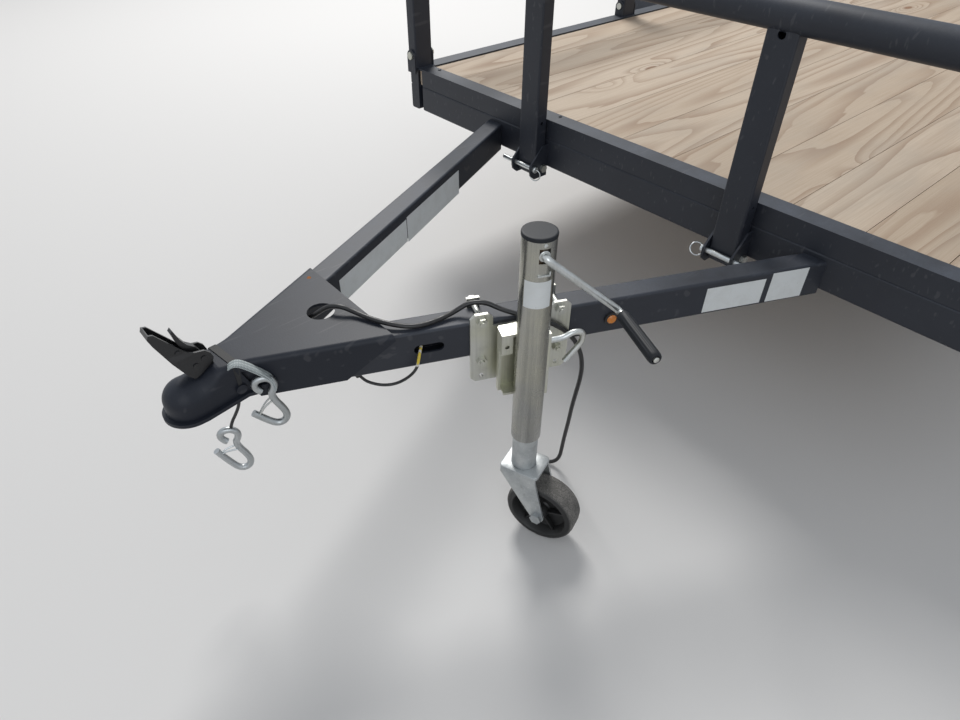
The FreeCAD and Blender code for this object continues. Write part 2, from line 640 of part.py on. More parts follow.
def front_rail_line():
    x = FACE_X + FRONT_POST_GAP + POST_NARROW / 2
    return Vec(x, -FRONT_PIPE_HALF, RAIL_TOP_Z), Vec(x, FRONT_PIPE_HALF, RAIL_TOP_Z)


def front_rail_posts():
    """Two posts that stand in front of the front member, coped to the pipe that they carry."""
    saddle = rod(*front_rail_line(), PIPE_R)
    x = front_rail_line()[0].x
    posts = []
    for y in (-FRONT_POST_Y, FRONT_POST_Y):
        post = tube(RAIL_TOP_Z - FRONT_POST_BOTTOM, POST_WIDE, POST_NARROW, POST_WALL, 5.0)
        post.rotate(Vec(0, 0, 0), Y_AXIS, -90)
        post.translate(Vec(x, y, FRONT_POST_BOTTOM))
        post = post.common(box(x - POST_NARROW, x + POST_NARROW, y - POST_WIDE, y + POST_WIDE,
                               FRONT_POST_BOTTOM, RAIL_TOP_Z - POST_SADDLE))
        notch_z = RAIL_TOP_Z - PIPE_R
        cuts = [saddle,
                rod(Vec(x, y, notch_z), Vec(x + POST_NARROW, y, notch_z), NOTCH_R),
                rod(Vec(x, y, POST_HOLE_Z), Vec(x, y + POST_WIDE, POST_HOLE_Z), POST_HOLE_R),
                rod(Vec(FACE_X + PIVOT_X, y - POST_WIDE, PIVOT_Z), Vec(FACE_X + PIVOT_X, y + POST_WIDE, PIVOT_Z),
                    PIVOT_R + PIN_FIT)]
        posts.append(post.cut(cuts))
    return Part.makeCompound(posts)


def ear_outline(x0):
    """Side view of a front rail ear: square at the member, sloping in front, rounded below."""
    return [(x0, EAR_BOTTOM), (x0 + 46, EAR_BOTTOM), (x0 + 60, EAR_BOTTOM + 12), (x0 + 63, EAR_BOTTOM + 24),
            (x0 + 63, EAR_BOTTOM + 40), (x0 + 18, EAR_TOP), (x0, EAR_TOP)]


def pin_place():
    """Centre of the front rail pin in the side view: just ahead of the post's front face."""
    return FACE_X + FRONT_POST_GAP + POST_NARROW + RAIL_PIN_R + 0.5, EAR_BOTTOM + 30.0


def front_rail_ears():
    """Two plates beside each front post, welded to the front member's face."""
    pin_x, pin_z = pin_place()
    gap = POST_WIDE / 2 + 0.4
    ears = []
    for post_y in (-FRONT_POST_Y, FRONT_POST_Y):
        for y in (post_y - gap - EAR_T, post_y + gap):
            ear = prism([Vec(x, y, z) for x, z in ear_outline(FACE_X)], Vec(0, EAR_T, 0))
            ear = ear.cut(rod(Vec(FACE_X + PIVOT_X, y - 1, PIVOT_Z), Vec(FACE_X + PIVOT_X, y + EAR_T + 1, PIVOT_Z),
                              PIVOT_R + PIN_FIT))
            ear = ear.cut(rod(Vec(pin_x, y - 1, pin_z), Vec(pin_x, y + EAR_T + 1, pin_z), RAIL_PIN_R + PIN_FIT))
            ears.append(ear)
    return Part.makeCompound(ears)


def hex_prism(centre, axis, across, height):
    """A hexagon head whose base is at centre and whose flats are across apart."""
    r = across / math.sqrt(3)
    pts = [Vec(r * math.cos(math.radians(60 * i)), r * math.sin(math.radians(60 * i)), 0) for i in range(6)]
    head = prism(pts, Vec(0, 0, height))
    head.Placement = FreeCAD.Placement(centre, FreeCAD.Rotation(Z_AXIS, axis))
    return head


def front_rail_bolts():
    """A hex bolt through each pair of ears and its post."""
    gap = POST_WIDE / 2 + 0.4 + EAR_T
    bolts = []
    for post_y in (-FRONT_POST_Y, FRONT_POST_Y):
        a = Vec(FACE_X + PIVOT_X, post_y - gap, PIVOT_Z)
        b = Vec(FACE_X + PIVOT_X, post_y + gap, PIVOT_Z)
        shank = rod(a, b, PIVOT_R)
        bolts.append(shank.fuse([hex_prism(b, Y_AXIS, 19.0, 8.0), hex_prism(a, Vec(0, -1, 0), 19.0, 9.0)]))
    return Part.makeCompound(bolts)


def front_rail_pins():
    """The removable pin in front of each post, its head towards the trailer's middle."""
    pin_x, pin_z = pin_place()
    gap = POST_WIDE / 2 + 0.4 + EAR_T
    pins = []
    for post_y, head_side in ((-FRONT_POST_Y, 1), (FRONT_POST_Y, -1)):
        head_y = post_y + head_side * gap
        tip_y = head_y - head_side * RAIL_PIN_LENGTH
        shank = rod(Vec(pin_x, tip_y, pin_z), Vec(pin_x, head_y, pin_z), RAIL_PIN_R)
        head = rod(Vec(pin_x, head_y, pin_z), Vec(pin_x, head_y + head_side * 9.0, pin_z), RAIL_PIN_R + 2.5)
        pins.append(shank.fuse(head))
    return Part.makeCompound(pins)


def side_post_fronts():
    """Where each side post's front face is."""
    first = FACE_X + SIDE_POST_LEAD
    last = REAR_X + POST_WIDE
    step = (first - last) / (SIDE_POST_COUNT - 1)
    return [first - i * step for i in range(SIDE_POST_COUNT)]


SIDE_POST_Y = BED_HALF_WIDTH - POST_NARROW / 2


def side_rail_line():
    """The ends of the left rail's pipe."""
    fronts = side_post_fronts()
    front_x, back_x = fronts[0] - 2.0, fronts[-1] - POST_WIDE + 2.0
    return Vec(back_x, SIDE_POST_Y, RAIL_TOP_Z), Vec(front_x, SIDE_POST_Y, RAIL_TOP_Z)


def side_rail_posts():
    """Posts on the side angles, coped to the pipes that they carry."""
    saddle = rod(*side_rail_line(), PIPE_R)
    bolt_z = DECK_Z + SIDE_BOLT_Z
    posts = []
    for x in side_post_fronts():
        post = tube(RAIL_TOP_Z - POST_SADDLE - DECK_Z, POST_NARROW, POST_WIDE, POST_WALL, 5.0)
        post.rotate(Vec(0, 0, 0), Y_AXIS, -90)
        post.translate(Vec(x - POST_WIDE / 2, SIDE_POST_Y, DECK_Z))
        bolt = rod(Vec(x - POST_WIDE - 5, SIDE_POST_Y, bolt_z), Vec(x + 5, SIDE_POST_Y, bolt_z), SIDE_BOLT_R + PIN_FIT)
        posts.append(post.cut([saddle, bolt]))
    return both_sides(Part.makeCompound(posts))


def side_rail_ears():
    """A rounded plate before and behind each side post, standing on the side angle."""
    half = POST_NARROW / 2
    ears = []
    for front in side_post_fronts():
        for x, at_end in ((front + 0.2, front > FACE_X), (front - POST_WIDE - EAR_T - 0.2, False)):
            low = DECK_Z - (SIDE_EAR_DROP if at_end else 0.0)
            top = DECK_Z + SIDE_EAR_TOP
            k = half * math.sqrt(0.5)
            a, b = Vec(x, SIDE_POST_Y - half, top - half), Vec(x, SIDE_POST_Y + half, top - half)
            arc = Part.Arc(a, Vec(x, SIDE_POST_Y, top), b).toShape()
            c, d = Vec(x, SIDE_POST_Y + half, low), Vec(x, SIDE_POST_Y - half, low)
            wire = Part.Wire([arc, Part.LineSegment(b, c).toShape(), Part.LineSegment(c, d).toShape(),
                              Part.LineSegment(d, a).toShape()])
            ear = Part.Face(wire).extrude(Vec(EAR_T, 0, 0))
            bolt_z = DECK_Z + SIDE_BOLT_Z
            ear = ear.cut(rod(Vec(x - 1, SIDE_POST_Y, bolt_z), Vec(x + EAR_T + 1, SIDE_POST_Y, bolt_z),
                              SIDE_BOLT_R + PIN_FIT))
            ears.append(ear)
    return both_sides(Part.makeCompound(ears))


def side_rail_bolts():
    bolts = []
    z = DECK_Z + SIDE_BOLT_Z
    for front in side_post_fronts():
        a = Vec(front - POST_WIDE - EAR_T - 0.2, SIDE_POST_Y, z)
        b = Vec(front + EAR_T + 0.2, SIDE_POST_Y, z)
        head = Part.makeCylinder(11.0, 5.0, b, X_AXIS)
        nut = hex_prism(a, Vec(-1, 0, 0), 19.0, 9.0)
        bolts.append(rod(a, b, SIDE_BOLT_R).fuse([head, nut]))
    return both_sides(Part.makeCompound(bolts))


# Axle, springs and wheels

def axle():
    """A round axle tube with a spindle at each end."""
    inner_y = WHEEL_Y - 62.0
    beam = ring(Vec(AXLE_AT, -inner_y, TYRE_R), Vec(AXLE_AT, inner_y, TYRE_R), AXLE_TUBE_R, AXLE_TUBE_R - 5.0)
    spindle = rod(Vec(AXLE_AT, inner_y - 20, TYRE_R), Vec(AXLE_AT, inner_y + 6, TYRE_R), AXLE_TUBE_R - 5.0)
    spindle = spindle.fuse(rod(Vec(AXLE_AT, inner_y, TYRE_R), Vec(AXLE_AT, WHEEL_Y + SPINDLE_OUT, TYRE_R), SPINDLE_R))
    return beam.fuse([spindle, mirrored(spindle)])


def leaf(half, z_mid, sag, thickness, width, y):
    """One leaf, bent to an arc that is lowest over the axle."""
    top = [Vec(AXLE_AT - half, y, z_mid + sag), Vec(AXLE_AT, y, z_mid), Vec(AXLE_AT + half, y, z_mid + sag)]
    low = [p.sub(Vec(0, 0, thickness)) for p in top]
    edges = [Part.Arc(*top).toShape(), Part.LineSegment(top[2], low[2]).toShape(),
             Part.Arc(*low).toShape(), Part.LineSegment(low[0], top[0]).toShape()]
    face = Part.Face(Part.Wire(Part.__sortEdges__(edges)))
    return face.extrude(Vec(0, width, 0))


def leaf_springs():
    """A pack of leaves over each end of the axle, the top one rolled to an eye at each end."""
    y0 = SPRING_Y - SPRING_WIDTH / 2
    z_mid = SPRING_EYE_Z - SPRING_SAG
    half = SPRING_HALF - EYE_R + 2
    pack = leaf(half, z_mid, SPRING_SAG * (half / SPRING_HALF) ** 2, LEAF_T, SPRING_WIDTH, y0)
    for i in range(1, LEAF_COUNT):
        share = 1.0 - 0.2 * i
        pack = pack.fuse(leaf(half * share, z_mid - i * LEAF_T, SPRING_SAG * (share * half / SPRING_HALF) ** 2,
                              LEAF_T, SPRING_WIDTH, y0))
    for x in (AXLE_AT - SPRING_HALF, AXLE_AT + SPRING_HALF):
        eye = ring(Vec(x, y0, SPRING_EYE_Z - 2), Vec(x, y0 + SPRING_WIDTH, SPRING_EYE_Z - 2), EYE_R, EYE_BOLT_R + PIN_FIT)
        clear = rod(Vec(x, y0, SPRING_EYE_Z - 2), Vec(x, y0 + SPRING_WIDTH, SPRING_EYE_Z - 2), EYE_BOLT_R + PIN_FIT)
        pack = pack.fuse(eye).cut(clear)
    return both_sides(pack)


def spring_hangers():
    """Folded plates under the side member that hold the spring's eyes, the rear ones by shackle bolts."""
    gap = SPRING_WIDTH / 2 + 1.0
    wall = 5.0
    pieces = []
    for x in (AXLE_AT - SPRING_HALF, AXLE_AT + SPRING_HALF):
        for y in (SPRING_Y - gap - wall, SPRING_Y + gap):
            plate = prism([Vec(x - 34, y, MEMBER_BOTTOM), Vec(x + 34, y, MEMBER_BOTTOM),
                           Vec(x + 17, y, SPRING_EYE_Z - 20), Vec(x - 17, y, SPRING_EYE_Z - 20)], Vec(0, wall, 0))
            pieces.append(plate)
        web = box(x - 34, x + 34, SPRING_Y - gap, SPRING_Y + gap, MEMBER_BOTTOM - 4.0, MEMBER_BOTTOM)
        hanger = pieces[-2].fuse([pieces[-1], web])
        z = SPRING_EYE_Z - 2
        hanger = hanger.cut(rod(Vec(x, SPRING_Y - gap - wall, z), Vec(x, SPRING_Y + gap + wall, z), EYE_BOLT_R + PIN_FIT))
        del pieces[-2:]
        pieces.append(hanger)
    return both_sides(Part.makeCompound(pieces))


def spring_bolts():
    gap = SPRING_WIDTH / 2 + 1.0 + 5.0
    z = SPRING_EYE_Z - 2
    bolts = []
    for x in (AXLE_AT - SPRING_HALF, AXLE_AT + SPRING_HALF):
        a, b = Vec(x, SPRING_Y - gap, z), Vec(x, SPRING_Y + gap, z)
        bolts.append(rod(a, b, EYE_BOLT_R).fuse([hex_prism(b, Y_AXIS, 22.0, 9.0), hex_prism(a, Vec(0, -1, 0), 22.0, 11.0)]))
    return both_sides(Part.makeCompound(bolts))


def spring_seats():
    """The perch on the axle, the tie plate under it and the U-bolts that clamp the pack."""
    z_pack_low = SPRING_EYE_Z - SPRING_SAG - LEAF_COUNT * LEAF_T
    z_pack_high = SPRING_EYE_Z - SPRING_SAG
    y0, y1 = SPRING_Y - SPRING_WIDTH / 2, SPRING_Y + SPRING_WIDTH / 2
    perch = box(AXLE_AT - 38, AXLE_AT + 38, y0, y1, TYRE_R, z_pack_low)
    perch = perch.cut(rod(Vec(AXLE_AT, y0 - 1, TYRE_R), Vec(AXLE_AT, y1 + 1, TYRE_R), AXLE_TUBE_R))
    tie = box(AXLE_AT - 52, AXLE_AT + 52, SPRING_Y - 42, SPRING_Y + 42, TYRE_R - AXLE_TUBE_R - 8, TYRE_R - AXLE_TUBE_R)
    r = 6.0
    out = SPRING_WIDTH / 2 + r + 0.3
    u_bolts = []
    for x in (AXLE_AT - 40, AXLE_AT + 40):
        low = TYRE_R - AXLE_TUBE_R - 22
        high = z_pack_high + 2.0
        legs = [rod(Vec(x, SPRING_Y + s * out, low), Vec(x, SPRING_Y + s * out, high + r), r) for s in (-1, 1)]
        bridge = rod(Vec(x, SPRING_Y - out, high + r), Vec(x, SPRING_Y + out, high + r), r)
        nuts = [hex_prism(Vec(x, SPRING_Y + s * out, TYRE_R - AXLE_TUBE_R - 18), Z_AXIS, 19.0, 10.0) for s in (-1, 1)]
        u_bolts.append(legs[0].fuse([legs[1], bridge] + nuts))
    whole = tie.fuse(u_bolts)
    return both_sides(Part.makeCompound([perch, whole]))


def turned(points, y):
    """Revolves an (axial, radial) outline about the wheel's axle line; axial grows outward."""
    pts = [Vec(AXLE_AT, y + a, TYRE_R + r) for a, r in points]
    return face_of(pts).revolve(Vec(AXLE_AT, y, TYRE_R), Y_AXIS, 360)


def tyre():
    """A road tyre with a hollow inside; its beads sit on the rim."""
    w = TYRE_WIDTH / 2
    foot = RIM_R + SEAT
    bead = RIM_WIDTH / 2 - RIM_T - SEAT
    half = [(bead, foot), (bead, foot + 14), (w, RIM_R + 70), (w - 12, TYRE_R - 20), (w - 44, TYRE_R)]
    inside = [(w - 26, TYRE_R - 24), (w - 20, RIM_R + 60), (bead - 12, foot)]
    outline = [(-a, r) for a, r in half] + [(a, r) for a, r in reversed(half)]
    outline += [(a, r) for a, r in reversed(inside)] + [(-a, r) for a, r in inside]
    return turned(outline, WHEEL_Y)


def rim():
    """A steel wheel: drop-centre barrel with flanges, and a disc with a flat band of round windows."""
    half = RIM_WIDTH / 2
    t = RIM_T
    flange, well = RIM_R + 14, RIM_R - 20
    outline = [(-half, flange), (-half + t, flange), (-half + t, RIM_R), (-half + 34, RIM_R), (-half + 44, well),
               (half - 58, well), (half - 48, RIM_R), (half - t, RIM_R), (half - t, flange), (half, flange),
               (half, RIM_R - t), (half - 46, RIM_R - t), (half - 56, well - t), (-half + 42, well - t),
               (-half + 32, RIM_R - t), (-half, RIM_R - t)]
    barrel = turned(outline, WHEEL_Y)
    t = DISC_T
    face = [(DISC_HUB, HUB_BORE_R), (DISC_HUB, 76), (DISC_BAND, 100), (DISC_BAND, 148), (0, well - 8)]
    dish = face + [(0, well - 2)] + [(a + t, r) for a, r in reversed(face[:-1] + [(0, well - 2)])]
    disc = turned(dish, WHEEL_Y)
    for i in range(WINDOW_COUNT):
        disc = disc.cut(rod(*wheel_line(i / WINDOW_COUNT, WINDOW_CIRCLE, DISC_BAND - 1, DISC_BAND + t + 1), WINDOW_R))
    for i in range(STUD_COUNT):
        disc = disc.cut(rod(*wheel_line(i / STUD_COUNT, STUD_CIRCLE, DISC_HUB - 1, DISC_HUB + t + 1), STUD_R + 1))
    return barrel.fuse(disc)


def wheel_line(share, radius, y0, y1):
    """Two points along the axle's direction at a share of a turn round the left wheel."""
    a = 2 * math.pi * share + math.pi / 2
    x, z = AXLE_AT + radius * math.cos(a), TYRE_R + radius * math.sin(a)
    return Vec(x, WHEEL_Y + y0, z), Vec(x, WHEEL_Y + y1, z)


def hub():
    """Hub and bearing cap with five studs and nuts; the bore runs on the spindle."""
    bore = SPINDLE_R + PIN_FIT
    face = DISC_HUB - SEAT
    outline = [(-52, bore), (-52, 34), (face - 12, 34), (face - 12, 72), (face, 72), (face, HUB_BORE_R - 0.5),
               (34, 36), (62, 26), (66, 20), (66, 0), (SPINDLE_OUT + 2, 0), (SPINDLE_OUT + 2, bore)]
    body = turned(outline, WHEEL_Y)
    nuts = []
    for i in range(STUD_COUNT):
        a, b = wheel_line(i / STUD_COUNT, STUD_CIRCLE, face - 1, DISC_HUB + DISC_T + 24)
        nut = hex_prism(Vec(a.x, WHEEL_Y + DISC_HUB + DISC_T, a.z), Y_AXIS, 20.0, 16.0)
        nuts.append(rod(a, b, STUD_R).fuse(nut))
    return body.fuse(nuts)


# Fenders

def fender():
    """The left fender: a round arch with a rolled outer lip."""
    centre = Vec(AXLE_AT, 0, TYRE_R)
    low = MEMBER_BOTTOM - FENDER_DROP
    band = ring(Vec(AXLE_AT, FENDER_INNER_Y, TYRE_R), Vec(AXLE_AT, FENDER_OUTER_Y, TYRE_R), FENDER_R, FENDER_R - FENDER_T)
    lip = ring(Vec(AXLE_AT, FENDER_OUTER_Y - FENDER_T, TYRE_R), Vec(AXLE_AT, FENDER_OUTER_Y, TYRE_R),
               FENDER_R - 0.5, FENDER_R - FENDER_LIP)
    keep = box(centre.x - 2 * FENDER_R, centre.x + 2 * FENDER_R, FENDER_INNER_Y, FENDER_OUTER_Y, low, 2 * FENDER_R + TYRE_R)
    return band.fuse(lip).common(keep)


def fender_brackets():
    """Flat bars from the side member out under the fender, two a side, their ends cut to its curve."""
    inner_r = FENDER_R - FENDER_T
    z1 = MEMBER_TOP - BRACKET_DOWN
    reach = math.sqrt(inner_r ** 2 - (z1 - BRACKET_T - TYRE_R) ** 2)
    arch = rod(Vec(AXLE_AT, 0, TYRE_R), Vec(AXLE_AT, FENDER_OUTER_Y, TYRE_R), inner_r)
    pieces = []
    for sign in (-1, 1):
        a, b = sorted([AXLE_AT + sign * reach, AXLE_AT + sign * (reach - BRACKET_WIDTH)])
        bar = box(a, b, BED_HALF_WIDTH, FENDER_INNER_Y + BRACKET_REACH, z1 - BRACKET_T, z1)
        pieces.append(bar.common(arch))
    return both_sides(Part.makeCompound(pieces))


# The jack, drawn in the left beam's frame

def jack_base():
    """The plate on the beam, low in the middle for the harness, with clamp bars, four bolts and the pivot hub."""
    c = BASE_CORNER
    s0, s1, z0, z1 = BASE_S0, BASE_S1, BASE_Z0, BASE_Z1
    m0, m1 = s0 + BASE_FLANGE, s1 - BASE_FLANGE
    outline = [(s0 + c, z0), (s1 - c, z0), (s1, z0 + c), (s1, z1 - c), (s1 - c, z1), (m1 + c, z1), (m1, z1 - c),
               (m1, BASE_MID_Z), (m0, BASE_MID_Z), (m0, z1 - c), (m0 - c, z1), (s0 + c, z1), (s0, z1 - c), (s0, z0 + c)]
    plate = prism([Vec(s, 0, z) for s, z in outline], Vec(0, BASE_T, 0))
    bolt_zs = (BEAM_TOP - BEAM_HEIGHT - BASE_BOLT_R - 2.0, BEAM_TOP + BASE_BOLT_R + 0.5)
    ss = (s0 + BASE_BOLT_IN, s1 - BASE_BOLT_IN)
    plate = plate.cut([rod(Vec(s, -1, z), Vec(s, BASE_T + 1, z), BASE_BOLT_R) for s in ss for z in BASE_HOLES_Z
                       if z < BEAM_TOP - BEAM_HEIGHT])
    hub_piece = Part.makeCylinder(PIVOT_HUB_R, SWIVEL_N - BASE_T, Vec(JACK_S, BASE_T, PIVOT_HUB_Z), Y_AXIS)
    pivot = Part.makeCylinder(JACK_PIVOT_R, SWIVEL_T + 2 * SEAT, Vec(JACK_S, SWIVEL_N, PIVOT_HUB_Z), Y_AXIS)
    head = Part.makeCylinder(13.0, 4.0, Vec(JACK_S, SWIVEL_N + SWIVEL_T + 2 * SEAT, PIVOT_HUB_Z), Y_AXIS)
    pieces = [hub_piece, pivot, head]
    back = -BEAM_WIDTH - BASE_T
    for s in ss:
        pieces.append(box(s - CLAMP_HALF, s + CLAMP_HALF, back, -BEAM_WIDTH, bolt_zs[0] - CLAMP_HALF, bolt_zs[1] + CLAMP_HALF))
        for z in bolt_zs:
            pieces += [rod(Vec(s, back - 12, z), Vec(s, BASE_T + 12, z), BASE_BOLT_R),
                       hex_prism(Vec(s, BASE_T, z), Y_AXIS, 17.0, 8.0),
                       hex_prism(Vec(s, back, z), Vec(0, -1, 0), 17.0, 8.0)]
    return on_beam(plate.fuse(pieces))


def jack_swivel():
    """A channel that turns on the hub: shelves round the tube's back, and a drilled tab bent down in front."""
    n0 = SWIVEL_N + SEAT
    t = SWIVEL_T
    z0, z1 = SWIVEL_Z0, SWIVEL_Z1
    rear, front = JACK_S - JACK_TUBE_R - t, JACK_S + SWIVEL_AHEAD
    outer = box(rear, front, n0, SWIVEL_REACH, z0, z1)
    corners = [e for e in outer.Edges if e.BoundBox.ZLength > 10 and e.BoundBox.YMax < n0 + 1]
    outer = outer.makeFillet(SWIVEL_BEND_R, corners)
    channel = outer.cut(box(rear + t, front - t, n0 + t, SWIVEL_REACH + 1, z0 + t, z1 - t))
    side = box(rear, rear + t, n0 + t, JACK_N + 6, z0, z1)
    tab_s = JACK_S + JACK_TUBE_R + TAB_GAP
    tab = box(tab_s, front, SWIVEL_REACH - t, SWIVEL_REACH, z1 - TAB_DROP, z1)
    hole_s, hole_z = (tab_s + front) / 2, z1 - TAB_HOLE_DOWN
    tab = tab.cut(rod(Vec(hole_s, SWIVEL_REACH - t - 1, hole_z), Vec(hole_s, SWIVEL_REACH + 1, hole_z), 4.0))
    mouth = box(front - t - 1, front + 1, n0 + t + SWIVEL_BEND_R, SWIVEL_REACH + 1, z0 - 1, z1 - TAB_DROP)
    channel = channel.cut(mouth.cut(box(front - t - 2, front + 2, n0, n0 + (SWIVEL_REACH - n0) / 2, z0 - 2, z1)))
    channel = channel.fuse([side, tab])
    channel = channel.cut(Part.makeCylinder(JACK_PIVOT_R + PIN_FIT, 20, Vec(JACK_S, n0 - 5, PIVOT_HUB_Z), Y_AXIS))
    return on_beam(channel.cut(Part.makeCylinder(JACK_TUBE_R + PIN_FIT, z1 - z0 + 2, Vec(JACK_S, JACK_N, z0 - 1))))


def jack_tube():
    body = ring(Vec(JACK_S, JACK_N, JACK_TUBE_BOTTOM), Vec(JACK_S, JACK_N, JACK_TUBE_TOP), JACK_TUBE_R,
                JACK_TUBE_R - JACK_TUBE_WALL)
    half = JACK_WINDOW_HALF
    window = box(JACK_S - half, JACK_S + half, JACK_N, JACK_N + 2 * JACK_TUBE_R, JACK_WINDOW_Z0, JACK_WINDOW_Z1)
    return on_beam(body.cut(window))


def jack_cap():
    cap = Part.makeCylinder(JACK_TUBE_R + JACK_CAP_OVER, JACK_CAP_T, Vec(JACK_S, JACK_N, JACK_TUBE_TOP))
    top = JACK_TUBE_TOP + JACK_CAP_T
    return on_beam(cap.makeChamfer(JACK_CAP_EDGE, [e for e in cap.Edges if e.BoundBox.ZMin > top - 0.1]))


def crank_points():
    """The crank: from the tube's far wall out of its window, down and back along the arm, then out under the grip."""
    n1 = JACK_N + JACK_TUBE_R + CRANK_OUT
    a = Vec(JACK_S, JACK_N - JACK_TUBE_R + JACK_TUBE_WALL + CRANK_INNER, CRANK_Z)
    b = Vec(JACK_S, n1, CRANK_Z)
    c = Vec(JACK_S + CRANK_ARM_S, n1, CRANK_Z + CRANK_ARM_Z)
    d = Vec(c.x, n1 + 14 + GRIP_LENGTH, c.z)
    return a, b, c, d


def jack_crank():
    a, b, c, d = crank_points()
    parts = [rod(a, b, CRANK_ROD_R), rod(b, c, CRANK_ROD_R), rod(c, d, CRANK_ROD_R)]
    knuckles = [Part.makeSphere(CRANK_ROD_R, p) for p in (b, c)]
    return on_beam(parts[0].fuse(parts[1:] + knuckles))


def jack_grip():
    a, b, c, d = crank_points()
    start = d.sub(Vec(0, GRIP_LENGTH, 0))
    end = d.add(Vec(0, 3, 0))
    body = rod(start, end, GRIP_R).cut(rod(start, d, CRANK_ROD_R))
    return on_beam(body)


def pull_pin():
    """The locking plunger's bent rod, behind the tube."""
    run = [(JACK_S - JACK_TUBE_R - SWIVEL_T, PULL_Z)] + PULL_BENDS
    return on_beam(tube_along([Vec(s, PULL_N, z) for s, z in run], PULL_ROD_R))


def jack_leg():
    """The inner tube that the screw drives in and out."""
    r = JACK_LEG_R
    body = ring(Vec(JACK_S, JACK_N, JACK_LEG_BOTTOM), Vec(JACK_S, JACK_N, JACK_LEG_TOP), r, r - JACK_LEG_WALL)
    foot = Part.makeCylinder(r - JACK_LEG_WALL, 12, Vec(JACK_S, JACK_N, JACK_LEG_BOTTOM))
    stem = Part.makeCylinder(8.0, 16, Vec(JACK_S, JACK_N, JACK_LEG_BOTTOM - 12))
    return on_beam(body.fuse([foot, stem]))


def caster_frame(shape):
    """Puts a shape drawn about the origin, trail along +X, under the jack."""
    at = beam_point(JACK_S, JACK_N, 0)
    placed = shape.copy()
    place = FreeCAD.Placement(Vec(at.x, at.y, 0), FreeCAD.Rotation(Z_AXIS, CASTER_HEADING))
    placed.Placement = place.multiply(placed.Placement)
    return placed


def caster_fork():
    """A formed fork: a plate under the leg, bent down at both sides into legs that narrow to the axle."""
    top = JACK_LEG_BOTTOM - SEAT
    y_in = CASTER_WIDTH / 2 + FORK_GAP
    y_out = y_in + FORK_T
    r = FORK_END_R
    side = [(-FORK_FRONT, top), (-FORK_FRONT, top - FORK_SHOULDER), (CASTER_TRAIL - 0.9 * r, CASTER_R - 0.45 * r),
            (CASTER_TRAIL + r, CASTER_R), (FORK_REAR, top - FORK_SHOULDER), (FORK_REAR, top)]
    body = prism([Vec(x, -y_out, z) for x, z in side], Vec(0, 2 * y_out, 0))
    body = body.fuse(rod(Vec(CASTER_TRAIL, -y_out, CASTER_R), Vec(CASTER_TRAIL, y_out, CASTER_R), r))
    bends = [e for e in body.Edges if e.BoundBox.ZMin > top - 0.1 and e.BoundBox.XLength > 10]
    body = body.makeFillet(FORK_BEND_R, bends)
    body = body.cut(box(-2 * CASTER_R, 2 * CASTER_R, -y_in, y_in, 0, top - FORK_T))
    body = body.cut(Part.makeCylinder(8.0 + PIN_FIT, 60, Vec(0, 0, top - 40)))
    shaft = rod(Vec(CASTER_TRAIL, -y_out - 4, CASTER_R), Vec(CASTER_TRAIL, y_out + 4, CASTER_R), CASTER_BORE_R - PIN_FIT)
    nuts = [hex_prism(Vec(CASTER_TRAIL, side * y_out, CASTER_R), Vec(0, side, 0), AXLE_NUT, AXLE_NUT_T) for side in (-1, 1)]
    return caster_frame(body.fuse([shaft] + nuts))


def caster_wheel():
    """A wheel with a rounded tread, a deep dish on both sides and a bored hub."""
    w = CASTER_WIDTH / 2
    b, r = CASTER_BORE_R, CASTER_R
    outline = [(-w, b), (-w, 15), (-5, 20), (-5, 54), (-w + 3, 60), (-w, 62), (-w, r - 8), (-w + 6, r - 1.5), (-w + 12, r),
               (w - 12, r), (w - 6, r - 1.5), (w, r - 8), (w, 62), (w - 3, 60), (5, 54), (5, 20), (w, 15), (w, b)]
    pts = [Vec(CASTER_TRAIL, y, CASTER_R + q) for y, q in outline]
    body = face_of(pts).revolve(Vec(CASTER_TRAIL, 0, CASTER_R), Y_AXIS, 360)
    return caster_frame(body)


# The wiring and the safety hooks, placed in the left beam's frame as (s, n, z)

HARNESS_ROUTE = [
    (925.0, -57.0, 455.0), (925.0, -76.7, 455.0), (936.5, -94.0, 450.0), (955.4, -103.9, 446.0),
    (978.5, -103.7, 444.5), (1003.7, -105.8, 445.0), (1019.8, -111.3, 457.3), (1025.8, -113.4, 477.3),
    (1019.8, -111.3, 497.3), (999.9, -104.5, 512.0), (979.1, -97.4, 528.0), (957.5, -87.0, 531.0),
    (937.7, -75.3, 524.0), (914.0, -51.0, 521.6), (885.0, -27.0, 521.0), (853.0, -14.0, 517.0),
    (826.0, -12.5, 516.0), (791.0, -22.0, 516.2), (762.0, -32.0, 520.0), (738.0, -33.0, 533.0),
    (708.0, -26.0, 534.0), (684.0, -13.0, 523.0), (662.0, 1.0, 519.0), (640.0, 11.0, 513.0), (618.0, 13.0, 507.0),
    (594.0, 13.5, 492.0), (569.0, 14.0, 473.0), (547.0, 13.0, 447.0), (530.0, 10.0, 415.0), (519.0, 6.5, 380.0),
    (514.0, 2.0, 340.0), (515.0, -6.0, 290.0), (516.0, -16.0, 235.0), (514.0, -28.0, 170.0), (513.0, -40.0, 112.0),
    (512.5, -48.0, 72.0), (514.0, -54.0, 41.0), (521.0, -61.0, 17.5), (539.0, -69.0, 5.4), (561.0, -84.0, 4.8),
    (571.0, -109.0, 4.8), (569.0, -136.0, 4.8),
]
HARNESS_R = 4.5
PLUG_SIZE = (32.0, 42.0, 9.0)
LOOP_ROUTE = [
    (832.0, -8.0, 474.0), (837.5, 5.0, 470.5), (842.0, 12.0, 458.0), (845.5, 12.0, 443.0), (854.0, 8.5, 427.0),
    (869.0, 4.0, 412.0), (888.0, 1.0, 403.5), (908.0, -3.0, 402.5), (926.0, -7.0, 408.0), (940.0, -10.0, 417.0),
    (947.0, -11.0, 430.0),
]
LOOP_R = 2.8
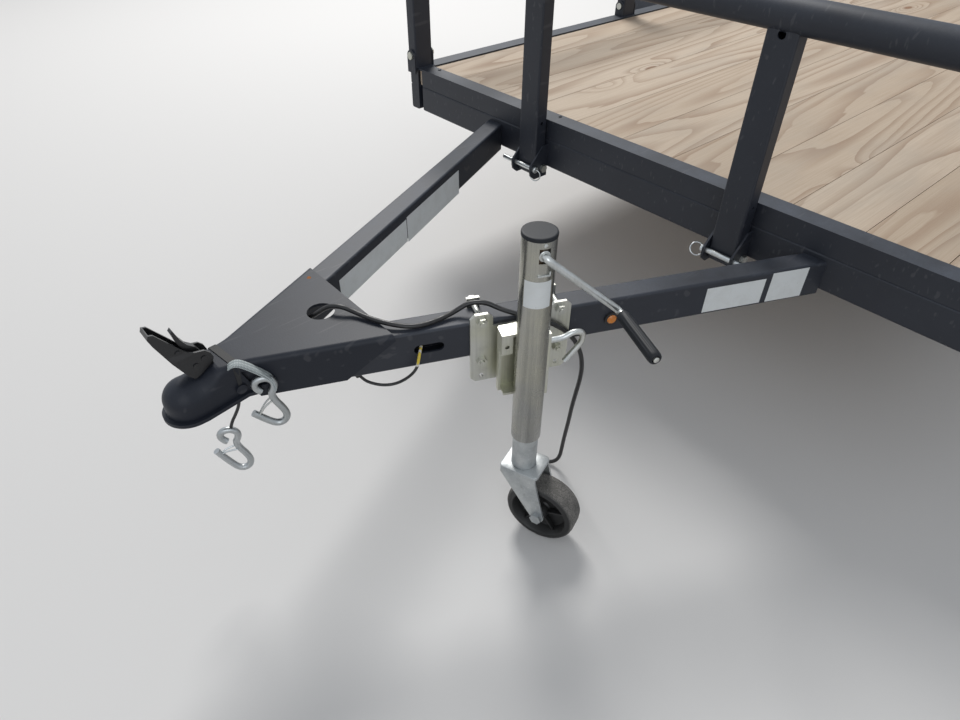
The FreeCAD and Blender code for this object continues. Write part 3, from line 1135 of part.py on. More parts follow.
GLAND_R, GLAND_T = 9.0, 5.0
HOOK_BAR_R = 4.8
HOOK_EYE_R = 14.5
HOOK_EYE_HOLE = 6.5
HOOKS = [  # the eye's centre and the bar's bends as (s, z), at n
    (14.0, (1104.0, 468.0), [(1103, 456), (1096, 436), (1082, 410), (1086, 384), (1104, 375), (1120, 393), (1135, 411)]),
    (-40.0, (1196.0, 316.0), [(1194, 304), (1187, 281), (1178, 260), (1176, 236), (1192, 224), (1209, 243), (1229, 285)]),
]
CABLE_ROUTE = [(1159.0, -39.5, 434.7), (1159.0, -39.5, 418.0), (1160.5, -40.0, 400.0), (1165.5, -40.0, 382.0),
               (1175.0, -40.0, 364.0), (1186.0, -40.0, 346.0), (1191.3, -40.0, 330.0)]
CABLE_R = 3.0


def cord_points(points):
    return [beam_point(*p) for p in points]


def harness_cord():
    """The lighting harness: out of the left beam, up through the coupler's plate, along the beam and down."""
    solid = tube_along(cord_points(HARNESS_ROUTE), HARNESS_R)
    report_cord("harness_cord", cord_points(HARNESS_ROUTE), HARNESS_R, solid)
    return solid


def harness_plug():
    """The flat four-way connector on the harness's end, lying on the ground."""
    width, length, height = PLUG_SIZE
    s, n, z = HARNESS_ROUTE[-1]
    direction = beam_point(*HARNESS_ROUTE[-1]).sub(beam_point(*HARNESS_ROUTE[-2]))
    body = box(0, length, -width / 2, width / 2, z - HARNESS_R, z - HARNESS_R + height)
    body = body.fuse(box(length, length + 14, -width / 2 + 2, width / 2 - 10, z - HARNESS_R + 1, z - HARNESS_R + height - 1))
    turn = math.degrees(math.atan2(direction.y, direction.x))
    at = beam_point(s, n, 0)
    body.Placement = FreeCAD.Placement(at, FreeCAD.Rotation(Z_AXIS, turn))
    return body


def wire_loop():
    """The marker wires: out of the beam's slot and back in from below."""
    solid = tube_along(cord_points(LOOP_ROUTE), LOOP_R)
    report_cord("wire_loop", cord_points(LOOP_ROUTE), LOOP_R, solid)
    return solid


def wiring_glands():
    """Rubber glands: where the harness leaves the beam's inner wall and where the wires enter it from below."""
    s, n, z = HARNESS_ROUTE[0]
    side = on_beam(rod(Vec(s, -BEAM_WIDTH, z), Vec(s, n, z), GLAND_R))
    bottom = BEAM_TOP - BEAM_HEIGHT
    end = Vec(*LOOP_ROUTE[-1])
    up = end.sub(Vec(*LOOP_ROUTE[-2]))
    up.normalize()
    under = rod(end, end.add(up * 3 * GLAND_R), GLAND_R - 2)
    under = under.common(box(end.x - 50, end.x + 50, end.y - 50, end.y + 50, end.z - 50, bottom))
    return Part.makeCompound([side, on_beam(under)])


def safety_hooks():
    """Two zinc hooks, each an eye and a bent bar."""
    hooks = []
    for n, eye, bends in HOOKS:
        ring_piece = ring(Vec(eye[0], n - HOOK_BAR_R, eye[1]), Vec(eye[0], n + HOOK_BAR_R, eye[1]), HOOK_EYE_R, HOOK_EYE_HOLE)
        bar = tube_along([Vec(s, n, z) for s, z in bends], HOOK_BAR_R)
        hooks.append(on_beam(ring_piece.fuse(bar)))
    return Part.makeCompound(hooks)


def safety_cable():
    """The short cable that the second hook hangs from."""
    solid = tube_along(cord_points(CABLE_ROUTE), CABLE_R)
    report_cord("safety_cable", cord_points(CABLE_ROUTE), CABLE_R, solid)
    return solid


def safety_strap():
    """The webbing that carries the first hook, from the coupler's top edge down to the eye."""
    outer = [(1152, 531), (1140, 529), (1126, 521), (1112, 508), (1096, 494), (1087, 481), (1085, 468), (1086, 455)]
    inner = [(1090, 455), (1089.2, 468), (1091, 478), (1100, 488), (1115, 502), (1129, 516), (1141, 524), (1152, 526)]
    strap = prism([Vec(s, STRAP_N, z) for s, z in outer + inner], Vec(0, STRAP_WIDTH, 0))
    return on_beam(strap)


# The ramp gate

def gate_axis():
    return Vec(REAR_X - GATE_HINGE_BACK, 0, GATE_HINGE_Z)


def upright_tube(x0, x1, y, width, z0, z1, wall):
    """A rectangular tube standing from z0 to z1."""
    outer = box(x0, x1, y - width / 2, y + width / 2, z0, z1)
    return outer.cut(box(x0 + wall, x1 - wall, y - width / 2 + wall, y + width / 2 - wall, z0 - 1, z1 + 1))


def gate_frame():
    """Side and mid uprights between a bottom and a top rail, with two hinge barrels below."""
    axis = gate_axis()
    t = GATE_TUBE
    low, high = GATE_BOTTOM, DECK_Z + GATE_HEIGHT
    x0, x1 = axis.x - t / 2, axis.x + t / 2
    pieces = []
    for z in (low, high - t):
        rail = tube(2 * GATE_HALF_WIDTH, t, t, GATE_TUBE_WALL, 4.0)
        rail.rotate(Vec(0, 0, 0), Z_AXIS, -90)
        rail.translate(Vec(axis.x, GATE_HALF_WIDTH, z + t / 2))
        pieces.append(rail)
    step = (2 * GATE_HALF_WIDTH - t) / (GATE_UPRIGHTS - 1)
    for i in range(GATE_UPRIGHTS):
        y = -GATE_HALF_WIDTH + t / 2 + i * step
        at_side = i in (0, GATE_UPRIGHTS - 1)
        front = x1 if at_side else x0 + GATE_UPRIGHT_DEPTH
        pieces.append(upright_tube(x0, front, y, t, low + t, high - t, GATE_TUBE_WALL))
    frame = pieces[0].fuse(pieces[1:])
    knuckles = []
    for y in (-HINGE_Y, HINGE_Y):
        a, b = Vec(axis.x, y - HINGE_LENGTH / 2, axis.z), Vec(axis.x, y + HINGE_LENGTH / 2, axis.z)
        barrel = ring(a, b, HINGE_R, HINGE_PIN_R + PIN_FIT)
        strap = box(axis.x - HINGE_R, axis.x + HINGE_R, a.y, b.y, axis.z, low + GATE_TUBE_WALL)
        knuckles += [barrel, strap.cut(rod(a, b, HINGE_PIN_R + PIN_FIT))]
    return frame.fuse(knuckles)


def gate_rungs():
    """Angle irons across the gate's front, which is its top when it is let down."""
    axis = gate_axis()
    low, high = GATE_BOTTOM + GATE_TUBE, DECK_Z + GATE_HEIGHT - GATE_TUBE
    x1 = axis.x + GATE_TUBE / 2
    x0 = x1 - (GATE_TUBE - GATE_UPRIGHT_DEPTH)
    half = GATE_HALF_WIDTH - GATE_TUBE
    pitch = (high - low - RUNG_HEIGHT) / (RUNG_COUNT + 1)
    rungs = []
    for i in range(1, RUNG_COUNT + 1):
        z = low + i * pitch
        face = box(x1 - RUNG_T, x1, -half, half, z, z + RUNG_HEIGHT)
        rungs.append(face.fuse(box(x0, x1, -half, half, z, z + RUNG_T)))
    return Part.makeCompound(rungs)


def gate_hinges():
    """Lugs behind the rear member with the pins that the gate turns on."""
    axis = gate_axis()
    pieces = []
    for y in (-HINGE_Y, HINGE_Y):
        reach = HINGE_LENGTH / 2 + SEAT
        lugs = []
        for side in (-1, 1):
            inner = y + side * reach
            outer = inner + side * 10.0
            y0, y1 = sorted([inner, outer])
            lugs.append(prism([Vec(REAR_X, y0, MEMBER_BOTTOM + 10), Vec(REAR_X, y0, MEMBER_TOP - 6),
                               Vec(axis.x, y0, axis.z + HINGE_R), Vec(axis.x - HINGE_R, y0, axis.z),
                               Vec(axis.x - 8, y0, axis.z - HINGE_R)], Vec(0, y1 - y0, 0)))
        pin = rod(Vec(axis.x, y - reach - 16, axis.z), Vec(axis.x, y + reach + 16, axis.z), HINGE_PIN_R)
        pieces.append(pin.fuse(lugs))
    return Part.makeCompound(pieces)


# Lamps

def tail_lamps():
    dx, dy, dz = TAIL_LAMP
    y1 = BED_HALF_WIDTH - 20
    body = box(REAR_X - dx, REAR_X, y1 - dy, y1, MEMBER_BOTTOM + 9, MEMBER_BOTTOM + 9 + dz)
    return both_sides(body)


NODES = {
    "side_members": side_members,
    "front_member": front_member,
    "rear_member": rear_member,
    "front_angle": lambda: end_angle(FACE_X, -1),
    "rear_angle": lambda: end_angle(REAR_X, 1),
    "side_angles": side_angles,
    "cross_members": cross_members,
    "deck_boards": deck_boards,
    "tongue_beam_left": tongue_beam,
    "tongue_beam_right": lambda: mirrored(tongue_beam()),
    "marker_lamps": marker_lamps,
    "marker_grommets": marker_grommets,
    "coupler": coupler,
    "coupler_latch": coupler_latch,
    "front_rail_pipe": lambda: pipe(*front_rail_line()),
    "front_rail_posts": front_rail_posts,
    "front_rail_ears": front_rail_ears,
    "front_rail_bolts": front_rail_bolts,
    "front_rail_pins": front_rail_pins,
    "side_rail_pipes": lambda: both_sides(pipe(*side_rail_line())),
    "side_rail_posts": side_rail_posts,
    "side_rail_ears": side_rail_ears,
    "side_rail_bolts": side_rail_bolts,
    "axle": axle,
    "leaf_springs": leaf_springs,
    "spring_hangers": spring_hangers,
    "spring_bolts": spring_bolts,
    "spring_seats": spring_seats,
    "tyre_left": tyre,
    "tyre_right": lambda: mirrored(tyre()),
    "rim_left": rim,
    "rim_right": lambda: mirrored(rim()),
    "hub_left": hub,
    "hub_right": lambda: mirrored(hub()),
    "fender_left": fender,
    "fender_right": lambda: mirrored(fender()),
    "fender_brackets": fender_brackets,
    "jack_base": jack_base,
    "jack_swivel": jack_swivel,
    "jack_tube": jack_tube,
    "jack_cap": jack_cap,
    "jack_crank": jack_crank,
    "jack_grip": jack_grip,
    "pull_pin": pull_pin,
    "jack_leg": jack_leg,
    "caster_fork": caster_fork,
    "caster_wheel": caster_wheel,
    "harness_cord": harness_cord,
    "harness_plug": harness_plug,
    "wire_loop": wire_loop,
    "wiring_glands": wiring_glands,
    "safety_hooks": safety_hooks,
    "safety_cable": safety_cable,
    "safety_strap": safety_strap,
    "gate_frame": gate_frame,
    "gate_rungs": gate_rungs,
    "gate_hinges": gate_hinges,
    "tail_lamps": tail_lamps,
}


def main():
    os.makedirs("parts", exist_ok=True)
    for name, make in NODES.items():
        shape = make()
        print(name, len(shape.Solids), "solids", round(shape.Volume / 1000.0, 1), "cm3", "valid", shape.isValid())
        shape.exportStep("parts/" + name + ".step")


main()
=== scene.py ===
"""Looks of the utility trailer: paint, boards, zinc, rubber and wiring, and the small parts that the
frame leaves out."""

import math

import bmesh
import bpy
from mathutils import Matrix, Vector
from mathutils.bvhtree import BVHTree


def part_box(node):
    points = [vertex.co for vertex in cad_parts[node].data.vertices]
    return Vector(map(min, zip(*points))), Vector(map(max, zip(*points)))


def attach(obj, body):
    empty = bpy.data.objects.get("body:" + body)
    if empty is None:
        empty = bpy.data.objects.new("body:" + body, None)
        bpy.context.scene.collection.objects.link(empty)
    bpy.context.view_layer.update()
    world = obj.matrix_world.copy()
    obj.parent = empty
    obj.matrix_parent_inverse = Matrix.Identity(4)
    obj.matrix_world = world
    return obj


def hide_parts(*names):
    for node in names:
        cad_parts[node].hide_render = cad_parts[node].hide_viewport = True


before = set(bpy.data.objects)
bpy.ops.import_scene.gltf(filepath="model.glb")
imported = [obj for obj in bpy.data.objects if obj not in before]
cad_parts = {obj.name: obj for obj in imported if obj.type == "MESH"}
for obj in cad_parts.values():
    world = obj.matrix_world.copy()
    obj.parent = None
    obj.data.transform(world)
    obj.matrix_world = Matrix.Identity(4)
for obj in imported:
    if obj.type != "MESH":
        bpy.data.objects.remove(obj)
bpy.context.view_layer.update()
MM = 0.001
UP = Vector((0, 0, 1))

# Places from the frame, in metres, and the left beam's own measures
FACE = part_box("front_member")[1].x
TONGUE_ANGLE = math.radians(25.0)
TONGUE_FOOT = 512.5 * MM
BEAM_WIDTH = 50.8
JACK_S, JACK_N = 650.0, 65.0

# The photograph's camera
PHOTO_WIDTH = 960
FOCAL_PIXELS = 660.5
SENSOR = 36.0
CAMERA_AT = (FACE + 1272.3 * MM, 909.0 * MM, 1218.4 * MM)
CAMERA_YAW, CAMERA_PITCH, CAMERA_ROLL = 228.81, 40.41, -0.30

# The studio: what lights the object, what the camera and the gloss see, the floor and the lamps
WORLD_LIGHT, WORLD_TINT = 0.45, (0.95, 0.97, 1.0)
SHOWN_LIGHT, SHOWN_TINT = 0.8, (0.87, 0.92, 0.98)
FLOOR_REACH, FLOOR_GREY = 14.0, (0.70, 0.70, 0.70)
LAMPS_TOWARDS = (0.6, 0.0, 0.5)
LAMPS = {
    # place, diameter, power and colour
    "key": ((-1.6, -4.8, 6.4), 3.0, 480.0, (1.0, 0.98, 0.95)),
    "front_fill": ((4.5, 4.0, 3.5), 4.0, 60.0, (0.94, 0.97, 1.0)),
}

# The cords' routes in the left beam's frame as (s, n, z), their radii, and their lengths in metres
HARNESS_ROUTE = [
    (925.0, -57.0, 455.0), (925.0, -76.7, 455.0), (936.5, -94.0, 450.0), (955.4, -103.9, 446.0),
    (978.5, -103.7, 444.5), (1003.7, -105.8, 445.0), (1019.8, -111.3, 457.3), (1025.8, -113.4, 477.3),
    (1019.8, -111.3, 497.3), (999.9, -104.5, 512.0), (979.1, -97.4, 528.0), (957.5, -87.0, 531.0),
    (937.7, -75.3, 524.0), (914.0, -51.0, 521.6), (885.0, -27.0, 521.0), (853.0, -14.0, 517.0),
    (826.0, -12.5, 516.0), (791.0, -22.0, 516.2), (762.0, -32.0, 520.0), (738.0, -33.0, 533.0),
    (708.0, -26.0, 534.0), (684.0, -13.0, 523.0), (662.0, 1.0, 519.0), (640.0, 11.0, 513.0),
    (618.0, 13.0, 507.0), (594.0, 13.5, 492.0), (569.0, 14.0, 473.0), (547.0, 13.0, 447.0),
    (530.0, 10.0, 415.0), (519.0, 6.5, 380.0), (514.0, 2.0, 340.0), (515.0, -6.0, 290.0),
    (516.0, -16.0, 235.0), (514.0, -28.0, 170.0), (513.0, -40.0, 112.0), (512.5, -46.0, 72.0),
    (513.0, -49.0, 41.0), (518.0, -54.0, 17.5), (535.0, -63.0, 5.4), (559.0, -81.0, 4.8),
    (571.0, -109.0, 4.8), (569.0, -136.0, 4.8),
]
HARNESS_R, HARNESS_LENGTH = 4.5, 1.268
LOOP_ROUTE = [
    (832.0, -8.0, 474.0), (837.5, 5.0, 470.5), (842.0, 12.0, 458.0), (845.5, 12.0, 443.0),
    (854.0, 8.5, 427.0), (869.0, 4.0, 412.0), (888.0, 1.0, 403.5), (908.0, -3.0, 402.5),
    (926.0, -7.0, 408.0), (940.0, -10.0, 417.0), (947.0, -11.0, 430.0),
]
LOOP_R, LOOP_LENGTH = 2.8, 0.175
CABLE_ROUTE = [
    (1159.0, -39.5, 434.7), (1159.0, -39.5, 418.0), (1160.5, -40.0, 400.0), (1165.5, -40.0, 382.0),
    (1175.0, -40.0, 364.0), (1186.0, -40.0, 346.0), (1191.3, -40.0, 330.0),
]
CABLE_R, CABLE_LENGTH = 3.0, 0.112

# Where the marker wires' jacket ends below the slot
JACKET_TOP, JACKET_EDGE = 0.447, 0.0012

# The deck's boards
BOARD_COUNT, BOARD_GAP = 11, 1.6 * MM

# A trailer tyre: half its outline as (across from the middle, radius), from the bead's toe to the
# groove in the tread's middle, then the inner wall, and one lug's corners as (along, across, radius)
TYRE_HALF = [
    (60, 191.4), (65.4, 192.5), (65.4, 206.0), (73, 207.5), (84, 216), (94, 233), (100.4, 256),
    (101.5, 274), (98.5, 298), (91.5, 317), (84, 328.5), (76, 334.5), (47, 335.5), (44, 341.5),
    (22, 342.4), (19, 335.8), (12, 335.9), (9, 342.5),
]
TYRE_INSIDE = [(-60, 214), (-74, 240), (-76, 300), (76, 300), (74, 240), (60, 214)]
TYRE_PROFILE = TYRE_HALF + [(-a, r) for a, r in reversed(TYRE_HALF)] + TYRE_INSIDE + TYRE_HALF[:1]
LUG_COUNT = 58
LUG_LOW, LUG_HIGH, LUG_EDGE = (-11.5, 50.0, 332.0), (11.5, 90.0, 340.6), 2.0
LUG_FALL_FROM, LUG_FALL = 74.0, 0.42
LUG_MIDDLE, LUG_SKEW = 70.0, 0.12

# The jack: profiles as (along the axis, radius), the crank's bends as (s, n, z)
CAP_RING = [(0.0, 29.2), (1.2, 29.3), (4.6, 29.2), (6.2, 28.6), (6.9, 27.2), (7.0, 26.4), (7.0, 25.6),
            (7.0, 0.0)]
GEARBOX_PROFILE, GEARBOX_Z = [(0, 0), (0, 25.2), (34.0, 25.2), (34.0, 0)], 671.0
COLLAR_PROFILE, COLLAR_OUT = [(0, 0), (0, 9.5), (3.4, 9.5), (4.2, 8.6), (4.2, 0)], 24.6
SCREW_HEAD, SCREW_OUT, SCREW_Z = [(0, 0), (0, 3.4), (1.4, 3.2), (2.0, 1.8), (2.1, 0)], 28.2, 707.0
WINDOW_EDGE = ((-10.6, 26.6, 652.0), (10.6, 30.6, 655.4), 0.8)
WINDOW_LIP = ((-11.6, 23.6, 652.0), (-8.8, 30.0, 660.0), 0.7)
CRANK_R, CRANK_Z = 6.5, 688.0
CRANK_POINTS = [
    (650.0, 41.0, CRANK_Z), (650.0, 84.0, CRANK_Z), (650.0, 96.0, CRANK_Z), (646.0, 100.6, 684.4),
    (637.0, 100.6, 676.0), (590.0, 100.6, 634.6), (523.0, 100.6, 575.5), (516.0, 101.5, 569.0),
    (513.0, 106.0, 566.0), (513.0, 118.0, 566.0), (513.0, 228.0, 566.0),
]
GRIP_S, GRIP_Z, GRIP_N0, GRIP_N1 = 513.0, 566.0, 114.6, 234.0
GRIP_PROFILE = [
    (0, 7.5), (0.6, 9.6), (3, 10.6), (14, 11.0), (26, 11.2), (96, 11.5), (108, 11.5), (114, 11.2),
    (117.5, 10.2), (119.0, 8.6), (119.2, 6.6),
]
FLUTES, FLUTE_DEPTH, FLUTE_FROM, FLUTE_TO = 14, 0.055, 18, 112
RIVET_PROFILE, RIVET_SUNK = [(0, 0), (0, 5.2), (1.6, 5.0), (2.6, 3.4), (2.9, 0)], 0.4

# The caster's wheel: hub, web, dish and the rounded tread as (across, radius), closed on itself
CASTER_HEADING = math.radians(110.0)
CASTER_HALF = [
    (-27, 8), (-27, 14), (-24, 16), (-8, 17.5), (-5, 20), (-4, 30), (-4, 47), (-6, 53), (-24, 58.5),
    (-26.5, 60.5), (-27, 63), (-27, 67.5), (-25, 71.5), (-20.5, 74.8), (-13, 76.2),
]
CASTER_PROFILE = CASTER_HALF + [(-a, r) for a, r in reversed(CASTER_HALF)] + CASTER_HALF[:1]
CASTER_RIBS, RIB_HALF, RIB_WEB, RIB_REACH = 5, 2.2, 4.0, (14.0, 17.0, 56.0)
TREAD_R0, TREAD_R1 = 0.0700, 0.0738

# The flange on the caster's fork, about the leg's axis
FLANGE_AHEAD, FLANGE_BEHIND, FLANGE_HALF = 39.0, 45.0, 34.5
FLANGE_HOLE, FLANGE_CORNER, FLANGE_STEPS = 25.4, 9.0, 96
FLANGE_SECTION = [
    # how far in from the edge, and z; the first two lie on the hole round the leg
    (None, 184.0), (None, 190.0), (1.6, 190.0), (0.4, 189.4), (0.0, 188.4), (0.0, 184.0),
]

# The safety hooks: n, then the bar from the eye's free end round the eye, down the shank and round
# to the tip, as (s, z); then the wire keepers
HOOK_R = 6.4
HOOK_SHAPES = [
    (14.0, [(1113, 455), (1121, 463), (1121, 476), (1110, 483), (1097, 482), (1089, 472), (1091, 459),
            (1098, 449), (1096, 432), (1086, 412), (1080, 392), (1088, 378), (1102, 376), (1118, 390),
            (1135, 409)]),
    (-40.0, [(1204, 302), (1212, 310), (1213, 323), (1203, 331), (1190, 330), (1181, 320), (1183, 307),
             (1190, 297), (1186, 279), (1177, 260), (1173, 240), (1180, 226), (1195, 224), (1208, 240),
             (1228, 282)]),
]
NECK_POINT = 8
KEEPER_R, KEEPER_HALF = 1.7, 4.0
KEEPER_START, KEEPER_BOW, KEEPER_END = (3, 3), (5, 4), (-8, -9)
KEEPER_SPREAD = (1.5, 1.2, 0.4)

# The strap over the first hook's eye, as (s, z), with its sides' n, its thickness and its fold
STRAP_PATH = [
    (1150.0, 519.5), (1143.0, 524.0), (1134.0, 523.0), (1126.0, 517.5), (1112.0, 505.0),
    (1098.0, 491.0), (1089.6, 479.5), (1087.6, 468.0), (1088.0, 456.5),
]
STRAP_N0, STRAP_N1, STRAP_T, STRAP_STEPS = 5.9, 21.9, 1.7, 8
STRAP_FOLD = (2.6, -2.0)

# The front rail's pins as (along, radius). Each side's ring has its way from the pin's head to its
# middle, and its axis; its control points lie a little outside the round that they draw
PIN_PROFILE = [
    (0, 0), (0, 4.4), (0.6, 5.2), (2.2, 6.35), (117.6, 6.35), (118.2, 8.6), (119.0, 8.85), (125.6, 8.85),
    (127.0, 7.6), (127.0, 0),
]
PIN_EYE, RING_R, RING_BAR, RING_POINTS, RING_SWELL = 122.5, 14.5, 1.5, 12, 1.04
RINGS = {
    1: ((0.75, -0.66, -0.10), (0.50, 0.57, 0.65)),
    -1: ((0.05, 0.15, -1.0), (0.90, 0.42, 0.10)),
}

# The rows of screws in the front and rear flanges, and the seed of what differs from copy to copy
REPEAT_SEED = 4
SCREW_PROFILE = [(0, 0), (0, 5.4), (0.8, 5.6), (1.5, 5.0), (2.6, 3.8), (3.1, 2.2), (3.2, 0)]
SCREW_COUNT, SCREW_STEP, SCREW_BACK, SCREW_FIRST_Y, SCREW_WOBBLE = 4, 516.0, 39.0, -787.0, 0.3

# Blank stickers as (s0, s1, z0, z1), and on the jack's tube as (degrees, degrees, z0, z1)
LEFT_LABELS = [(137.0, 268.0, 441.0, 498.0), (41.0, 124.0, 440.0, 508.0)]
RIGHT_LABELS = [(588.0, 862.0, 432.0, 488.0), (310.0, 585.0, 428.0, 492.0)]
TUBE_LABEL, TUBE_R, TUBE_LABEL_STEPS = (2.0, 98.0, 591.0, 642.0), 28.6, 24
LABEL_T, LABEL_OFF, LABEL_EDGE = 0.3, 0.02, 0.1

# The band over the coupler's neck, its ends ahead of the front member's face
NECK_BAND_FROM, NECK_BAND_TO = (1047.0, -34.0, 520.0), (1037.0, 40.0, 520.0)
NECK_BAND_WIDTH, NECK_BAND_T, NECK_BAND_LIFT = 13.0, 1.4, 0.9
NECK_BAND_STEPS, NECK_BAND_COLUMNS, NECK_BAND_ABOVE = 22, 4, 0.7


def beam(s, n, z):
    """A point in the left tongue beam's frame: s along it, n out from its outer face, in millimetres."""
    c, k = math.cos(TONGUE_ANGLE), math.sin(TONGUE_ANGLE)
    return Vector((FACE + (s * c + n * k) * MM, TONGUE_FOOT + (n * c - s * k) * MM, z * MM))


def mirrored_beam(s, n, z):
    """The same point on the right beam."""
    place = beam(s, n, z)
    return Vector((place.x, -place.y, place.z))


def ahead(x, y, z):
    """A point x millimetres ahead of the front member's face."""
    return Vector((FACE + x * MM, y * MM, z * MM))


def on_jack(s, n, z):
    """A point s along the beam and n outward from the jack tube's axis."""
    return beam(JACK_S + s, JACK_N + n, z)


def middle_of(name):
    low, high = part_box(name)
    return (low + high) / 2


def placed(name, data):
    """A new object of this data in the scene."""
    thing = bpy.data.objects.new(name, data)
    bpy.context.collection.objects.link(thing)
    return thing


# Shader building

class Tree:
    """Short names for the shader nodes that the materials use."""

    def __init__(self, tree):
        self.tree = tree
        self.found = None

    def add(self, kind, **values):
        node = self.tree.nodes.new(kind)
        for key, value in values.items():
            setattr(node, key, value)
        return node

    def link(self, a, b):
        self.tree.links.new(a, b)

    def plug(self, value, socket):
        """Links a socket, or sets a colour, vector or number."""
        if isinstance(value, bpy.types.NodeSocket):
            self.link(value, socket)
        elif isinstance(value, tuple) and len(value) == 3 and socket.type == "RGBA":
            socket.default_value = (*value, 1)
        else:
            socket.default_value = value

    def node(self, kind, inputs, result=0, **values):
        """A node with some of its inputs given, and one of its outputs."""
        node = self.add(kind, **values)
        for key, value in inputs.items():
            self.plug(value, node.inputs[key])
        return node.outputs[result]

    def coordinates(self):
        if self.found is None:
            self.found = self.add("ShaderNodeTexCoord")
        return self.found.outputs["Object"]

    def facing(self):
        self.coordinates()
        return self.found.outputs["Normal"]

    def mapping(self, vector, scale, turn=(0, 0, 0)):
        return self.node("ShaderNodeMapping", {"Vector": vector, "Scale": scale, "Rotation": turn})

    def noise(self, vector, scale, detail=2, rough=0.5):
        return self.node("ShaderNodeTexNoise",
                         {"Vector": vector, "Scale": scale, "Detail": detail, "Roughness": rough}, "Fac")

    def cells(self, vector, scale):
        """Voronoi cells: each cell's own numbers, and how far its middle lies."""
        node = self.add("ShaderNodeTexVoronoi")
        self.plug(vector, node.inputs["Vector"])
        self.plug(scale, node.inputs["Scale"])
        return self.split(node.outputs["Color"]), node.outputs["Distance"]

    def math(self, operation, a, b=0.0, c=0.0):
        return self.node("ShaderNodeMath", {0: a, 1: b, 2: c}, operation=operation)

    def times(self, a, b):
        return self.math("MULTIPLY", a, b)

    def times_plus(self, a, b, c):
        return self.math("MULTIPLY_ADD", a, b, c)

    def vector_math(self, operation, a, b=(0, 0, 0), result=0):
        return self.node("ShaderNodeVectorMath", {0: a, 1: b}, result, operation=operation)

    def ramp(self, value, low, high, to_low=0.0, to_high=1.0):
        """Maps low..high of a value to to_low..to_high, held at the ends."""
        ends = {"Value": value, "From Min": low, "From Max": high, "To Min": to_low, "To Max": to_high}
        return self.node("ShaderNodeMapRange", ends)

    def mix_colour(self, factor, a, b):
        return self.node("ShaderNodeMix", {0: factor, 6: a, 7: b}, 2, data_type="RGBA")

    def split(self, vector):
        node = self.add("ShaderNodeSeparateXYZ")
        self.plug(vector, node.inputs[0])
        return node.outputs

    def join(self, x, y, z):
        return self.node("ShaderNodeCombineXYZ", {0: x, 1: y, 2: z})

    def bump(self, height, strength, distance):
        return self.node("ShaderNodeBump", {"Height": height, "Strength": strength, "Distance": distance})

    def group(self, which, **inputs):
        node = self.add("ShaderNodeGroup")
        node.node_tree = which
        for key, value in inputs.items():
            self.plug(value, node.inputs[key])
        return node.outputs

    def finish(self, shader, colour=None, rough=None, normal=None):
        """Links what changes over the surface to the shader."""
        for value, name in ((colour, "Base Color"), (rough, "Roughness"), (normal, "Normal")):
            if value is not None:
                self.link(value, shader.inputs[name])


def principled(name, colour=(0.8, 0.8, 0.8), rough=0.5, metal=0.0, coat=0.0, gloss=0.5):
    material = bpy.data.materials.new(name)
    material.use_nodes = True
    material.node_tree.nodes.clear()
    tree = Tree(material.node_tree)
    shader = tree.add("ShaderNodeBsdfPrincipled")
    shader.inputs["Base Color"].default_value = (*colour, 1)
    shader.inputs["Roughness"].default_value = rough
    shader.inputs["Metallic"].default_value = metal
    shader.inputs["Coat Weight"].default_value = coat
    shader.inputs["Specular IOR Level"].default_value = gloss
    out = tree.add("ShaderNodeOutputMaterial")
    tree.link(shader.outputs[0], out.inputs[0])
    return material, tree, shader


def shades(colour, *shares):
    """Darker or lighter shades of a colour."""
    return [tuple(c * share for c in colour) for share in shares]


def new_group(name, inputs, outputs):
    """A shader node group; inputs and outputs are (name, kind, default) and (name, kind)."""
    group = bpy.data.node_groups.new(name, "ShaderNodeTree")
    kinds = {"number": "NodeSocketFloat", "colour": "NodeSocketColor", "vector": "NodeSocketVector"}
    for label, kind, default in inputs:
        socket = group.interface.new_socket(label, in_out="INPUT", socket_type=kinds[kind])
        if default is not None:
            socket.default_value = (*default, 1) if kind == "colour" else default
    for label, kind in outputs:
        group.interface.new_socket(label, in_out="OUTPUT", socket_type=kinds[kind])
    tree = Tree(group)
    start = tree.add("NodeGroupInput")
    end = tree.add("NodeGroupOutput")
    return group, tree, start.outputs, end.inputs


def dust_and_sheen_group():
    """Dust in soft patches where a surface faces up; it lightens and dulls what it lies on. On the black
    paint its pale blue is partly a painted sheen of sky reflection on the tops.
    """
    group, tree, given, out = new_group(
        "settled_dust_and_sheen",
        [("Colour", "colour", (0.02, 0.02, 0.02)), ("Roughness", "number", 0.4),
         ("Dust", "colour", (0.16, 0.165, 0.18)), ("Amount", "number", 0.5),
         ("Vector", "vector", None), ("Up", "vector", None)],
        [("Colour", "colour"), ("Roughness", "number")])
    patches = tree.ramp(tree.noise(given["Vector"], 9.0, 5, 0.6), 0.3, 0.75)
    fine = tree.ramp(tree.noise(given["Vector"], 180.0, 3, 0.7), 0.35, 0.7, 0.6, 1.0)
    up = tree.ramp(tree.split(given["Up"])[2], 0.2, 0.95, 0.12, 1.0)
    mask = tree.times(tree.times(patches, fine), tree.times(up, given["Amount"]))
    tree.link(tree.mix_colour(mask, given["Colour"], given["Dust"]), out["Colour"])
    dull = tree.times_plus(mask, 0.3, given["Roughness"])
    tree.link(tree.math("MINIMUM", dull, 0.95), out["Roughness"])
    return group


def scratch_group():
    """Thin crossing scratches as a mask."""
    group, tree, given, out = new_group(
        "fine_scratches", [("Vector", "vector", None), ("Scale", "number", 30.0)], [("Mask", "number")])
    masks = []
    for turn in (0.4, 1.7, 2.6):
        stretched = tree.mapping(given["Vector"], (1.0, 14.0, 6.0), (turn, turn * 0.6, turn))
        masks.append(tree.ramp(tree.noise(stretched, given["Scale"], 1), 0.70, 0.76))
    both = tree.math("MAXIMUM", tree.math("MAXIMUM", masks[0], masks[1]), masks[2])
    tree.link(both, out["Mask"])
    return group


